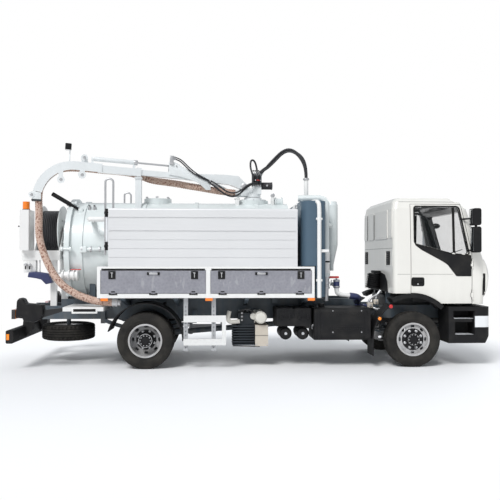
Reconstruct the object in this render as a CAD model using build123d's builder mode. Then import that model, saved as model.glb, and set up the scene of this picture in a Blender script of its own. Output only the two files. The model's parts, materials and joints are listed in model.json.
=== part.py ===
from build123d import *
from math import cos, degrees, hypot, radians, sin, sqrt, tan
import os

os.makedirs("parts", exist_ok=True)

# Whole truck, millimetres: +X forward, +Y left, +Z up, ground at zero
LENGTH = 7550
FRONT_END = LENGTH / 2
REAR_END = -LENGTH / 2
WHEELBASE = 4185
FRONT_AXLE = FRONT_END - 1275
REAR_AXLE = FRONT_AXLE - WHEELBASE
BODY_HALF = 1250
FIT = 0.1
GAP = 8

# Wheels: 265/70 R19.5 on eight-stud rims
TYRE_RADIUS = 433.5
TYRE_WIDTH = 265
BEAD_RADIUS = 250
AXLE_Z = TYRE_RADIUS
FRONT_TYRE_Y = 985
TWIN_OUTER_Y = 995
TWIN_SPACING = 302
STUD_COUNT = 8
STUD_CIRCLE = 275
SPINDLE_RADIUS = 40
HUB_RADIUS = 105
KINGPIN_Y = 800
KINGPIN_RADIUS = 20

# Chassis frame and sub-frame
RAIL_TOP = 930
RAIL_HEIGHT = 215
RAIL_FLANGE = 70
RAIL_WALL = 9
RAIL_OUTER = 430
FRAME_REAR = REAR_END + 60
FRAME_FRONT = FRONT_END - 190
SUBFRAME_REAR = REAR_AXLE - 1420
SUBFRAME_FRONT = REAR_AXLE + 3600
SUBFRAME_HEIGHT = 110
SUBFRAME_TOP = RAIL_TOP + SUBFRAME_HEIGHT

# Cab
CAB_HALF = 1050
CAB_BOTTOM = 985
CAB_FLOOR = 1230
CAB_WALL = 60
ARCH_RADIUS = 720
HINGE_X = FRONT_END - 95
HINGE_Z = 960
HINGE_Y = 380
DOOR_FRONT = FRONT_AXLE + 965
DOOR_REAR = FRONT_AXLE - 25
DOOR_TOP = 2575
DOOR_WALL = 62
DOOR_HINGE_X = DOOR_FRONT + 4
DOOR_HINGE_Y = CAB_HALF + 4
MIRROR_Y = 1265

# Bodywork
TANK_RADIUS = 790
TANK_Z = 1850
TANK_REAR = REAR_AXLE - 1240
TANK_FRONT = REAR_AXLE + 2290
TOOLBOX_REAR = REAR_AXLE - 710
TOOLBOX_LENGTH = 3310
TOOLBOX_BOTTOM = 1100
TOOLBOX_HEIGHT = 478
TANK_ROOM = 30
TOOLBOX_DEPTH = BODY_HALF - TANK_RADIUS - TANK_ROOM
TOOLBOX_WALL = 30
TOOLBOX_FRAME = 50
FLAP_THICK = 25
FLAP_HINGE_RADIUS = 10
PANEL_REAR = REAR_AXLE - 550
PANEL_LENGTH = 2890
PANEL_TOP = 2470
PANEL_Y = BODY_HALF - 25

# Boom
SLEW_X = REAR_AXLE + 1720
SLEW_TOP = 2750
BOOM_YAW = 10.5
BOOM_PITCH = 3.5
PIVOT_BACK = 160
PIVOT_Z = 2930
BOOM_RISE = 80
INNER_SIZE = 92
OUTER_SIZE = 116
OUTER_WALL = 8
OUTER_START = 1750
NECK_START = 2800
NECK_RADIUS = 550
NECK_TURN = 80
SUCTION_RADIUS = 59

# Reel
REEL_X = REAR_AXLE - 1650
REEL_Z = 2150
REEL_RADIUS = 430
REEL_WIDTH = 330
REEL_HOSE_RADIUS = 355


def save(piece, name):
    piece.part.label = name
    export_step(piece.part, f"parts/{name}.step")


def block(x, y, z, mode=Mode.ADD):
    """Box between the limits given as (low, high) pairs."""
    with Locations(((x[0] + x[1]) / 2, (y[0] + y[1]) / 2, (z[0] + z[1]) / 2)):
        Box(abs(x[1] - x[0]), abs(y[1] - y[0]), abs(z[1] - z[0]), mode=mode)


def rod(start, end, radius, mode=Mode.ADD):
    """Round bar from one point to another."""
    run = Vector(*end) - Vector(*start)
    with BuildSketch(Plane(origin=start, z_dir=run)) as section:
        Circle(radius)
    extrude(section.sketch, amount=run.length, mode=mode)


def side_plate(points, y, mode=Mode.ADD, rounding=0):
    """Plate outlined in X and Z, between two Y values."""
    with BuildSketch(Plane.XZ.offset(-y[0])) as outline:
        with BuildLine():
            Polyline(*points, close=True)
        make_face()
        if rounding:
            fillet(outline.vertices(), rounding)
    extrude(outline.sketch, amount=y[0] - y[1], mode=mode)


def mirrored(piece):
    with BuildPart() as other:
        mirror(piece.part, about=Plane.XZ)
    return other


def bend_radii(points):
    """Largest tangent radius at each corner of a route."""
    radii = []
    for before, corner, after in zip(points, points[1:], points[2:]):
        into = Vector(*corner) - Vector(*before)
        out = Vector(*after) - Vector(*corner)
        half_turn = radians(into.get_angle(out)) / 2
        radii.append(0.45 * min(into.length, out.length) / tan(half_turn))
    return radii


def tube(points, radius, elbow=None):
    """Round tube along straight runs joined by tangent arcs, or by elbows of one radius."""
    radii = [elbow] * (len(points) - 2) if elbow else bend_radii(points)
    with BuildLine() as route:
        FilletPolyline(*points, radius=radii)
    with BuildSketch(Plane(origin=points[0], z_dir=Vector(*points[1]) - Vector(*points[0]))) as section:
        Circle(radius)
    sweep(section.sketch, path=route.wires()[0])
    print("bend radii", [round(r) for r in radii], "length", round(route.wires()[0].length))


# Frame rails with cross members, cab posts and cab hinge brackets
TOW_MEMBER = REAR_END + 300
TOW_Z = RAIL_TOP - 107.5
TOW_SPACING_Y = 120
TOW_SPACING_Z = 55
TOW_HOLE = 7.5
SPARE_X = REAR_AXLE - 1390
SPARE_Z = 480
SPARE_DISC = 40
CROSS_MEMBERS = [TOW_MEMBER, SPARE_X, REAR_AXLE + 420, REAR_AXLE + 1500, REAR_AXLE + 2900, FRONT_AXLE + 1000]
with BuildPart() as chassis_frame:
    with BuildSketch(Plane.YZ.offset(FRAME_REAR)):
        for side in (-1, 1):
            with Locations((side * (RAIL_OUTER - RAIL_FLANGE / 2), RAIL_TOP - RAIL_HEIGHT / 2)):
                Rectangle(RAIL_FLANGE, RAIL_HEIGHT)
            with Locations((side * (RAIL_OUTER - RAIL_WALL - RAIL_FLANGE / 2), RAIL_TOP - RAIL_HEIGHT / 2)):
                Rectangle(RAIL_FLANGE, RAIL_HEIGHT - 2 * RAIL_WALL, mode=Mode.SUBTRACT)
    extrude(amount=FRAME_FRONT - FRAME_REAR)
    for x in CROSS_MEMBERS:
        block((x - 40, x + 40), (RAIL_WALL - RAIL_OUTER, RAIL_OUTER - RAIL_WALL), (RAIL_TOP - 165, RAIL_TOP - 50))
    for side in (-1, 1):
        block((FRONT_AXLE - 260, FRONT_AXLE - 190), (side * 360, side * 425), (RAIL_TOP, ARCH_RADIUS + AXLE_Z))
        for cheek in (side * HINGE_Y - 35, side * HINGE_Y + 35):
            side_plate(
                [(FRAME_FRONT - 150, 780), (FRAME_FRONT + 40, 780), (HINGE_X + 28, HINGE_Z - 18),
                 (HINGE_X + 10, HINGE_Z + 22), (HINGE_X - 25, HINGE_Z + 15), (FRAME_FRONT - 150, 900)],
                (cheek - 7, cheek + 7))
        rod((HINGE_X, side * HINGE_Y - 42, HINGE_Z), (HINGE_X, side * HINGE_Y + 42, HINGE_Z), 14)
    seat = SPARE_Z - SPARE_DISC - 12.3
    rod((SPARE_X, 0, RAIL_TOP - 100), (SPARE_X, 0, seat - 20), SPINDLE_RADIUS - 5)
    rod((SPARE_X, 0, seat), (SPARE_X, 0, seat - 20), HUB_RADIUS)
    with BuildSketch(Plane.YZ.offset(TOW_MEMBER - 60)):
        with Locations((0, TOW_Z)):
            with GridLocations(TOW_SPACING_Y, TOW_SPACING_Z, 2, 2):
                Circle(TOW_HOLE)
    extrude(amount=120, mode=Mode.SUBTRACT)
save(chassis_frame, "chassis_frame")

# Sub-frame: bevelled rails, tank saddles and toolbox outriggers
SADDLES = [REAR_AXLE - 900, REAR_AXLE + 590, REAR_AXLE + 2050]
OUTRIGGERS = [REAR_AXLE - 330, REAR_AXLE + 470, REAR_AXLE + 1560, REAR_AXLE + 2500]
with BuildPart() as subframe:
    for side in (-1, 1):
        side_plate(
            [(SUBFRAME_REAR, RAIL_TOP), (SUBFRAME_FRONT, RAIL_TOP), (SUBFRAME_FRONT, RAIL_TOP + 25),
             (SUBFRAME_FRONT - 260, SUBFRAME_TOP), (SUBFRAME_REAR, SUBFRAME_TOP)],
            (side * 360, side * RAIL_OUTER))
    for x in SADDLES:
        block((x - 45, x + 45), (-560, 560), (SUBFRAME_TOP - 60, 1330))
    rod((TANK_REAR - 200, 0, TANK_Z), (TANK_FRONT + 200, 0, TANK_Z), TANK_RADIUS, Mode.SUBTRACT)
save(subframe, "subframe")

with BuildPart() as outriggers:
    for side in (-1, 1):
        for x in OUTRIGGERS:
            side_arm = [(side * RAIL_OUTER, RAIL_TOP + 5), (side * (RAIL_OUTER + 60), RAIL_TOP + 5),
                        (side * (BODY_HALF - 40), TOOLBOX_BOTTOM - 35), (side * (BODY_HALF - 40), TOOLBOX_BOTTOM),
                        (side * RAIL_OUTER, TOOLBOX_BOTTOM)]
            with BuildSketch(Plane.YZ.offset(x - 30)):
                with BuildLine():
                    Polyline(*side_arm, close=True)
                make_face()
            extrude(amount=60)
save(outriggers, "outriggers")

# Front axle beam with kingpins and leaf springs
SPRING_Y = 395
with BuildPart() as front_axle:
    for side in (-1, 1):
        rod((FRONT_AXLE, side * KINGPIN_Y, AXLE_Z - 70), (FRONT_AXLE, side * KINGPIN_Y, AXLE_Z + 70), 46)
        rod((FRONT_AXLE, side * KINGPIN_Y, AXLE_Z - 112), (FRONT_AXLE, side * KINGPIN_Y, AXLE_Z + 112),
            KINGPIN_RADIUS)
    with BuildSketch(Plane.YZ.offset(FRONT_AXLE - 45)):
        with BuildLine():
            Polyline((-KINGPIN_Y, AXLE_Z + 40), (-620, AXLE_Z + 35), (-520, AXLE_Z - 35), (520, AXLE_Z - 35),
                     (620, AXLE_Z + 35), (KINGPIN_Y, AXLE_Z + 40), (KINGPIN_Y, AXLE_Z - 50),
                     (600, AXLE_Z - 60), (500, AXLE_Z - 125), (-500, AXLE_Z - 125), (-600, AXLE_Z - 60),
                     (-KINGPIN_Y, AXLE_Z - 50), close=True)
        make_face()
    extrude(amount=90)
    for side in (-1, 1):
        with BuildSketch(Plane.XZ.offset(-side * SPRING_Y + 35)):
            with BuildLine():
                arc = ThreePointArc((FRONT_AXLE - 760, 640), (FRONT_AXLE, AXLE_Z - 5), (FRONT_AXLE + 760, 640))
                offset(arc, amount=26, side=Side.LEFT)
            make_face()
        extrude(amount=-70)
        block((FRONT_AXLE - 60, FRONT_AXLE + 60), (side * SPRING_Y - 45, side * SPRING_Y + 45),
              (AXLE_Z - 60, AXLE_Z + 10))
        for end in (-745, 745):
            block((FRONT_AXLE + end - 30, FRONT_AXLE + end + 30),
                  (side * SPRING_Y - 32, side * SPRING_Y + 32), (600, RAIL_TOP - RAIL_HEIGHT))
save(front_axle, "front_axle")

# Rear axle: banjo housing, spindles, leaf springs and propeller shaft
REAR_SPRING_Y = 468
REAR_SPRING_HALF = 34
SPINDLE_END = TWIN_OUTER_Y + 60
with BuildPart() as rear_axle:
    rod((REAR_AXLE, -560, AXLE_Z), (REAR_AXLE, 560, AXLE_Z), 78)
    for side in (-1, 1):
        rod((REAR_AXLE, side * 550, AXLE_Z), (REAR_AXLE, side * SPINDLE_END, AXLE_Z), SPINDLE_RADIUS)
    with BuildSketch(Plane.XZ):
        with Locations((REAR_AXLE, AXLE_Z)):
            Circle(205)
    extrude(amount=95, both=True, taper=12)
    rod((REAR_AXLE + 150, 0, AXLE_Z), (REAR_AXLE + 330, 0, AXLE_Z + 10), 85)
    rod((REAR_AXLE + 300, 0, AXLE_Z + 8), (REAR_AXLE + 3000, 0, 660), 45)
    for side in (-1, 1):
        with BuildSketch(Plane.XZ.offset(-side * REAR_SPRING_Y + REAR_SPRING_HALF)):
            with BuildLine():
                arc = ThreePointArc((REAR_AXLE - 760, 690), (REAR_AXLE, AXLE_Z + 80), (REAR_AXLE + 760, 690))
                offset(arc, amount=55, side=Side.LEFT)
            make_face()
        extrude(amount=-2 * REAR_SPRING_HALF)
        block((REAR_AXLE - 70, REAR_AXLE + 70), (side * REAR_SPRING_Y - 42, side * REAR_SPRING_Y + 42),
              (AXLE_Z - 90, AXLE_Z + 100))
        for end in (-740, 740):
            block((REAR_AXLE + end - 35, REAR_AXLE + end + 35),
                  (side * RAIL_OUTER, side * (REAR_SPRING_Y + REAR_SPRING_HALF)), (650, 860))
save(rear_axle, "rear_axle")


def wheel_plane(x, y):
    """Section plane of a right-hand wheel: first axis outward, second axis up."""
    return Plane(origin=(x, y, AXLE_Z), x_dir=(0, -1, 0), z_dir=(-1, 0, 0))


def wheel_axis(x):
    return Axis((x, 0, AXLE_Z), (0, 1, 0))


def tyre(x, y):
    """Tyre ring around a wheel centre."""
    half = TYRE_WIDTH / 2
    with BuildSketch(wheel_plane(x, y)) as section:
        with BuildLine():
            left = ThreePointArc((-90, BEAD_RADIUS + 14), (-half, 345), (-108, TYRE_RADIUS - 10))
            right = ThreePointArc((90, BEAD_RADIUS + 14), (half, 345), (108, TYRE_RADIUS - 10))
            Polyline(left @ 1, (-85, TYRE_RADIUS), (85, TYRE_RADIUS), right @ 1)
            Polyline(left @ 0, (-90, BEAD_RADIUS), (90, BEAD_RADIUS), right @ 0)
        make_face()
    revolve(section.sketch, axis=wheel_axis(x))


def rim(x, y, disc, hub_end):
    """Rim barrel with its disc set at an axial place, hand holes and studs, and a bored hub."""
    flange = BEAD_RADIUS + 12
    with BuildSketch(wheel_plane(x, y)) as section:
        with BuildLine():
            Polyline((-105, flange), (-92, flange), (-92, BEAD_RADIUS - 0.2), (92, BEAD_RADIUS - 0.2),
                     (92, flange), (105, flange), (105, BEAD_RADIUS - 14), (-105, BEAD_RADIUS - 14), close=True)
        make_face()
        with BuildLine():
            Polyline((disc - 18, BEAD_RADIUS - 10), (disc - 6, BEAD_RADIUS - 10), (disc + 12, 165), (disc + 12, 90),
                     (disc, 90), (disc, 165), close=True)
        make_face()
        with Locations(((disc + 12 + hub_end) / 2, (HUB_RADIUS + SPINDLE_RADIUS + FIT) / 2)):
            Rectangle(abs(hub_end - disc - 12), HUB_RADIUS - SPINDLE_RADIUS - FIT)
    revolve(section.sketch, axis=wheel_axis(x))
    face = Plane(origin=(x, y - disc - 12, AXLE_Z), x_dir=(1, 0, 0), z_dir=(0, -1, 0))
    with BuildSketch(face) as holes:
        with PolarLocations(205, STUD_COUNT):
            SlotOverall(64, 40, rotation=90)
    extrude(holes.sketch, amount=60, both=True, mode=Mode.SUBTRACT)
    with BuildSketch(face) as nuts:
        with PolarLocations(STUD_CIRCLE / 2, STUD_COUNT, start_angle=22.5):
            RegularPolygon(17, 6)
    extrude(nuts.sketch, amount=28)


# Steering knuckles: a fork over the kingpin, with the wheel spindle
with BuildPart() as knuckle_right:
    with BuildSketch(Plane.XZ.offset(KINGPIN_Y + 50)):
        with Locations((FRONT_AXLE, AXLE_Z)):
            RectangleRounded(110, 214, 20)
    extrude(amount=26)
    for low, high in ((-107, -72), (72, 107)):
        rod((FRONT_AXLE, -KINGPIN_Y, AXLE_Z + low), (FRONT_AXLE, -KINGPIN_Y, AXLE_Z + high), 46)
        block((FRONT_AXLE - 46, FRONT_AXLE + 46), (-KINGPIN_Y - 60, -KINGPIN_Y), (AXLE_Z + low, AXLE_Z + high))
    rod((FRONT_AXLE, -KINGPIN_Y, AXLE_Z - 130), (FRONT_AXLE, -KINGPIN_Y, AXLE_Z + 130), KINGPIN_RADIUS + FIT,
        Mode.SUBTRACT)
    rod((FRONT_AXLE, -KINGPIN_Y - 70, AXLE_Z), (FRONT_AXLE, -FRONT_TYRE_Y - 105, AXLE_Z), SPINDLE_RADIUS)
save(knuckle_right, "knuckle_right")
save(mirrored(knuckle_right), "knuckle_left")

with BuildPart() as front_rim_right:
    rim(FRONT_AXLE, -FRONT_TYRE_Y, 60, -80)
    rod((FRONT_AXLE, -FRONT_TYRE_Y - 65, AXLE_Z), (FRONT_AXLE, -FRONT_TYRE_Y - 128, AXLE_Z), 92)
    rod((FRONT_AXLE, -FRONT_TYRE_Y + 90, AXLE_Z), (FRONT_AXLE, -FRONT_TYRE_Y - 108, AXLE_Z),
        SPINDLE_RADIUS + FIT, Mode.SUBTRACT)
save(front_rim_right, "front_rim_right")
save(mirrored(front_rim_right), "front_rim_left")
with BuildPart() as front_tyre_right:
    tyre(FRONT_AXLE, -FRONT_TYRE_Y)
save(front_tyre_right, "front_tyre_right")
save(mirrored(front_tyre_right), "front_tyre_left")

with BuildPart() as rear_rims_right:
    rim(REAR_AXLE, -TWIN_OUTER_Y, -98, 60)
    rim(REAR_AXLE, TWIN_SPACING - TWIN_OUTER_Y, 78, -100)
    rod((REAR_AXLE, -TWIN_OUTER_Y + 230, AXLE_Z), (REAR_AXLE, -TWIN_OUTER_Y - 78, AXLE_Z), HUB_RADIUS)
    rod((REAR_AXLE, -TWIN_OUTER_Y + 420, AXLE_Z), (REAR_AXLE, -SPINDLE_END - 3, AXLE_Z), SPINDLE_RADIUS + FIT,
        Mode.SUBTRACT)
save(rear_rims_right, "rear_rims_right")
save(mirrored(rear_rims_right), "rear_rims_left")
with BuildPart() as rear_tyres_right:
    tyre(REAR_AXLE, -TWIN_OUTER_Y)
    tyre(REAR_AXLE, TWIN_SPACING - TWIN_OUTER_Y)
save(rear_tyres_right, "rear_tyres_right")
save(mirrored(rear_tyres_right), "rear_tyres_left")

# Spare wheel slung flat under the tail
with BuildPart() as upright_spare:
    tyre(REAR_AXLE, 0)
    rim(REAR_AXLE, 0, SPARE_DISC, 0)
spare_turned = upright_spare.part.moved(Location((-REAR_AXLE, 0, -AXLE_Z)))
spare_turned = spare_turned.rotate(Axis.X, 90).moved(Location((SPARE_X, 0, SPARE_Z)))
with BuildPart() as spare_wheel:
    add(spare_turned)
save(spare_wheel, "spare_wheel")

# Engine and gearbox, with the exhaust box on the left
with BuildPart() as engine_block:
    block((FRONT_AXLE - 330, FRONT_AXLE + 720), (-270, 270), (620, 1105))
    fillet(engine_block.edges().filter_by(Axis.X), 60)
    rod((FRONT_AXLE - 320, 0, 720), (FRONT_AXLE - 900, 0, 690), 190)
    rod((FRONT_AXLE - 880, 0, 690), (FRONT_AXLE - 1120, 0, 675), 110)
    block((FRONT_AXLE + 830, FRONT_AXLE + 905), (-345, 345), (700, 1150))
    block((FRONT_AXLE + 700, FRONT_AXLE + 840), (-60, 60), (760, 860))
    block((FRONT_AXLE + 260, FRONT_AXLE + 350), (RAIL_WALL - RAIL_OUTER, RAIL_OUTER - RAIL_WALL), (760, 850))
    side_plate([(REAR_AXLE + 2650, 450), (REAR_AXLE + 3420, 450), (REAR_AXLE + 3420, 900), (REAR_AXLE + 2650, 900)],
               (480, 1100), rounding=90)
    for x in (REAR_AXLE + 2800, REAR_AXLE + 3250):
        block((x - 30, x + 30), (RAIL_OUTER, 520), (730, 860))
save(engine_block, "engine_block")

# Fuel tank, battery box and air tanks on the right
FUEL = dict(rear=REAR_AXLE + 2610, front=REAR_AXLE + 3500, low=432, top=935, outer=BODY_HALF - 100, inner=500)
with BuildPart() as fuel_tank:
    block((FUEL["rear"], FUEL["front"]), (-FUEL["outer"], -FUEL["inner"]), (FUEL["low"], FUEL["top"]))
    fillet(fuel_tank.edges().filter_by(Axis.X), 75)
    fillet(fuel_tank.edges().group_by(Axis.X)[0] + fuel_tank.edges().group_by(Axis.X)[-1], 18)
    rod((FUEL["rear"] + 140, -960, FUEL["top"] - 20), (FUEL["rear"] + 140, -960, FUEL["top"] + 45), 48)
    for x in (FUEL["rear"] + 210, FUEL["front"] - 210):
        block((x - 35, x + 35), (-FUEL["inner"] - 40, -RAIL_OUTER), (740, 880))
save(fuel_tank, "fuel_tank")

AIR_TANKS = [REAR_AXLE + 2178, REAR_AXLE + 2447]
AIR_RADIUS = 95
AIR_Z = 530
AIR_DOME = 42
LIDS = [(REAR_AXLE + 2030, REAR_AXLE + 2293), (REAR_AXLE + 2307, REAR_AXLE + 2570)]
with BuildPart() as air_tank:
    rod((0, -BODY_HALF + 205, AIR_Z), (0, -500, AIR_Z), AIR_RADIUS)
    fillet(air_tank.edges().filter_by(GeomType.CIRCLE), AIR_DOME)
with BuildPart() as battery_lid:
    block((0, LIDS[0][1] - LIDS[0][0]), (-BODY_HALF + 138, -520), (795, 932))
    fillet(battery_lid.faces().sort_by(Axis.Z)[-1].edges() + battery_lid.edges().filter_by(Axis.Z), 22)
    for step in range(4):
        block((40 + step * 50, 62 + step * 50), (-BODY_HALF + 132, -BODY_HALF + 150), (810, 905))
with BuildPart() as battery_box:
    block((REAR_AXLE + 2020, REAR_AXLE + 2580), (-BODY_HALF + 150, -500), (650, 915))
    fillet(battery_box.edges().filter_by(Axis.Z), 25)
    for x in (REAR_AXLE + 2120, REAR_AXLE + 2480):
        block((x - 30, x + 30), (-520, -RAIL_OUTER), (730, 880))
    for rear, _ in LIDS:
        add(Pos(rear, 0, 0) * battery_lid.part)
    for x in AIR_TANKS:
        add(Pos(x, 0, 0) * air_tank.part)
        block((x - 25, x + 25), (-900, -600), (AIR_Z + AIR_RADIUS - 15, 660))
save(battery_box, "battery_box")

# Jetting pump: finned crankcase, round cover, drive housing and hanger
PUMP_FINS = 8
with BuildPart() as jet_pump:
    block((REAR_AXLE + 1440, REAR_AXLE + 1705), (-900, -520), (400, 840))
    for step in range(PUMP_FINS):
        z = 345 + step * 41
        block((REAR_AXLE + 1345, REAR_AXLE + 1700), (-960, -540), (z, z + 18))
    rod((REAR_AXLE + 1785, -560, 783), (REAR_AXLE + 1785, -1040, 783), 90)
    block((REAR_AXLE + 1700, REAR_AXLE + 1903), (-1020, -560), (335, 660))
    block((REAR_AXLE + 1345, REAR_AXLE + 1890), (-600, -520), (560, 700))
    block((REAR_AXLE + 1480, REAR_AXLE + 1760), (-540, -RAIL_OUTER), (730, 860))
save(jet_pump, "jet_pump")

# Side guards: perforated posts and boards
GUARD_POSTS = [REAR_AXLE + 625, REAR_AXLE + 1052]
GUARD_BOARDS = [(REAR_AXLE + 592, REAR_AXLE + 1241, 726, 828), (REAR_AXLE + 592, REAR_AXLE + 1241, 374, 470),
                (REAR_AXLE + 1180, REAR_AXLE + 1241, 460, 740)]
GUARD_Y = BODY_HALF - 50
with BuildPart() as guard_right:
    for x in GUARD_POSTS:
        block((x - 33, x + 33), (-GUARD_Y + 28, -GUARD_Y + 78), (287, 1010))
        with BuildSketch(Plane.XZ.offset(GUARD_Y)):
            with GridLocations(0, 62, 1, 11):
                with Locations((x, 650)):
                    Circle(11)
        extrude(amount=-60, mode=Mode.SUBTRACT)
        block((x - 33, x + 33), (-GUARD_Y + 28, -GUARD_Y + 130), (1005, TOOLBOX_BOTTOM))
    for rear, front, low, high in GUARD_BOARDS:
        block((rear, front), (-GUARD_Y, -GUARD_Y + 28), (low, high))
with BuildPart() as side_guards:
    add(guard_right.part)
    mirror(guard_right.part, about=Plane.XZ)
save(side_guards, "side_guards")

# Mudguards: rear arches over the twins, front quarters with flaps
MUD_RADIUS = 570
MUD_THICK = 14
with BuildPart() as mudguard_right:
    with BuildSketch(Plane.XZ.offset(555)):
        with BuildLine():
            outer = CenterArc((REAR_AXLE, AXLE_Z), MUD_RADIUS + MUD_THICK, 0, 165)
            inner = CenterArc((REAR_AXLE, AXLE_Z), MUD_RADIUS, 0, 165)
            Line(outer @ 0, inner @ 0)
            Line(outer @ 1, inner @ 1)
        make_face()
    extrude(amount=600)
    for x in (REAR_AXLE - 180, REAR_AXLE + 260):
        block((x - 20, x + 20), (-640, -RAIL_OUTER), (960, 990))
    with BuildSketch(Plane.XZ.offset(760)):
        with BuildLine():
            outer = CenterArc((FRONT_AXLE, AXLE_Z), 640 + MUD_THICK, 122, 58)
            inner = CenterArc((FRONT_AXLE, AXLE_Z), 640, 122, 58)
            Line(outer @ 0, inner @ 0)
            Polyline(outer @ 1, (FRONT_AXLE - 654, 185), (FRONT_AXLE - 640, 185), inner @ 1)
        make_face()
    extrude(amount=380)
    block((FRONT_AXLE - 590, FRONT_AXLE - 545), (-800, -RAIL_OUTER), (740, 790))
with BuildPart() as mudguards:
    add(mudguard_right.part)
    mirror(mudguard_right.part, about=Plane.XZ)
save(mudguards, "mudguards")

# Rear underrun bar on two drop arms
with BuildPart() as underrun_bar:
    with BuildSketch(Plane.XZ.offset(-1150)):
        with Locations((REAR_END + 55, 510)):
            RectangleRounded(110, 200, 22)
    extrude(amount=2300)
    for side in (-1, 1):
        side_plate([(REAR_END + 100, 430), (REAR_END + 230, 560), (REAR_END + 260, RAIL_TOP - 20),
                    (REAR_END + 90, RAIL_TOP - 20), (REAR_END + 60, 600), (REAR_END + 60, 430)],
                   (side * RAIL_OUTER, side * (RAIL_OUTER + 30)))
save(underrun_bar, "underrun_bar")

# Hose tray behind the toolboxes, with its lamp arms
TRAY_TOP = 962
with BuildPart() as tray_right:
    block((REAR_AXLE - 1230, REAR_AXLE - 620), (-BODY_HALF + 40, -RAIL_OUTER), (TRAY_TOP - 62, TRAY_TOP))
    block((REAR_AXLE - 1200, REAR_AXLE - 650), (-BODY_HALF + 70, -RAIL_OUTER), (TRAY_TOP - 75, TRAY_TOP - 12),
          Mode.SUBTRACT)
    side_plate([(REAR_AXLE - 1940, 800), (REAR_AXLE - 1640, 770), (REAR_AXLE - 1225, 900), (REAR_AXLE - 1225, 950),
                (REAR_AXLE - 1640, 905), (REAR_AXLE - 1940, 900)], (-BODY_HALF + 100, -BODY_HALF + 160))
with BuildPart() as hose_trays:
    add(tray_right.part)
    mirror(tray_right.part, about=Plane.XZ)
save(hose_trays, "hose_trays")

# Sludge tank: rolled shell, stiffening rings, bolted rear flange and dished heads
TANK_RINGS = [TANK_REAR + 190, TANK_REAR + 1150, TANK_REAR + 2000, TANK_REAR + 3000]
RING_HEIGHT = 18
TANK_CLAMPS = 6
FLANGE_RADIUS = TANK_RADIUS + 60
with BuildPart() as sludge_tank:
    with BuildSketch(Plane.XZ):
        with BuildLine():
            rear = ThreePointArc((TANK_REAR - 165, TANK_Z), (TANK_REAR - 142, TANK_Z + 400),
                                 (TANK_REAR - 60, TANK_Z + TANK_RADIUS - 40))
            front = ThreePointArc((TANK_FRONT + 90, TANK_Z), (TANK_FRONT + 70, TANK_Z + 420),
                                  (TANK_FRONT, TANK_Z + TANK_RADIUS))
            Polyline(rear @ 1, (TANK_REAR - 60, TANK_Z + FLANGE_RADIUS), (TANK_REAR + 20, TANK_Z + FLANGE_RADIUS),
                     (TANK_REAR + 20, TANK_Z + TANK_RADIUS), front @ 1)
            Line(rear @ 0, front @ 0)
        make_face()
        for x in TANK_RINGS:
            with Locations((x, TANK_Z + TANK_RADIUS)):
                Rectangle(60, 2 * RING_HEIGHT)
    revolve(axis=Axis((0, 0, TANK_Z), (1, 0, 0)))
    rod((SLEW_X, 0, TANK_Z + TANK_RADIUS - 90), (SLEW_X, 0, TANK_Z + TANK_RADIUS + 45), 260)
    rod((REAR_AXLE + 100, 0, TANK_Z + TANK_RADIUS - 90), (REAR_AXLE + 100, 0, TANK_Z + TANK_RADIUS + 70), 230)
    for step in range(TANK_CLAMPS):
        turn = radians(360 / TANK_CLAMPS * step)
        spot = (FLANGE_RADIUS + 8) * cos(turn), TANK_Z + (FLANGE_RADIUS + 8) * sin(turn)
        rod((TANK_REAR - 96, *spot), (TANK_REAR + 62, *spot), 22)
        for x in (TANK_REAR - 96, TANK_REAR + 34):
            rod((x, *spot), (x + 28, *spot), 38)
save(sludge_tank, "sludge_tank")

# Water tanks: ribbed side tanks over the toolboxes and a cross tank in front
PANEL_LOW = TOOLBOX_BOTTOM + TOOLBOX_HEIGHT
GROOVES = [(2320, 26, 12), (2115, 26, 12), (1985, 10, 6), (1850, 10, 6), (1715, 10, 6)]
with BuildPart() as water_right:
    block((PANEL_REAR, PANEL_REAR + PANEL_LENGTH), (-PANEL_Y, -BODY_HALF + TOOLBOX_DEPTH), (PANEL_LOW, PANEL_TOP))
    fillet(water_right.edges().filter_by(Axis.X).group_by(Axis.Z)[-1], 30)
    for height, tall, deep in GROOVES:
        block((PANEL_REAR + 20, PANEL_REAR + PANEL_LENGTH - 20), (-PANEL_Y, -PANEL_Y + deep),
              (height - tall / 2, height + tall / 2), Mode.SUBTRACT)
    rod((TANK_REAR - 90, 0, TANK_Z), (TANK_FRONT + 90, 0, TANK_Z), TANK_RADIUS + RING_HEIGHT + 6, Mode.SUBTRACT)
CROSS_TANK = dict(rear=REAR_AXLE + 2410, front=REAR_AXLE + 2800, low=1105, top=2600, half=BODY_HALF - 70)
with BuildPart() as water_tanks:
    add(water_right.part)
    mirror(water_right.part, about=Plane.XZ)
    with BuildSketch(Plane.XY.offset(CROSS_TANK["low"])):
        with Locations(((CROSS_TANK["rear"] + CROSS_TANK["front"]) / 2, 0)):
            RectangleRounded(CROSS_TANK["front"] - CROSS_TANK["rear"], 2 * CROSS_TANK["half"], 140)
    extrude(amount=CROSS_TANK["top"] - CROSS_TANK["low"])
    block((CROSS_TANK["rear"] - 5, CROSS_TANK["front"] - 170), (-BODY_HALF, BODY_HALF),
          (1000, TOOLBOX_BOTTOM + TOOLBOX_HEIGHT + 10), Mode.SUBTRACT)
save(water_tanks, "water_tanks")

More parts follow.
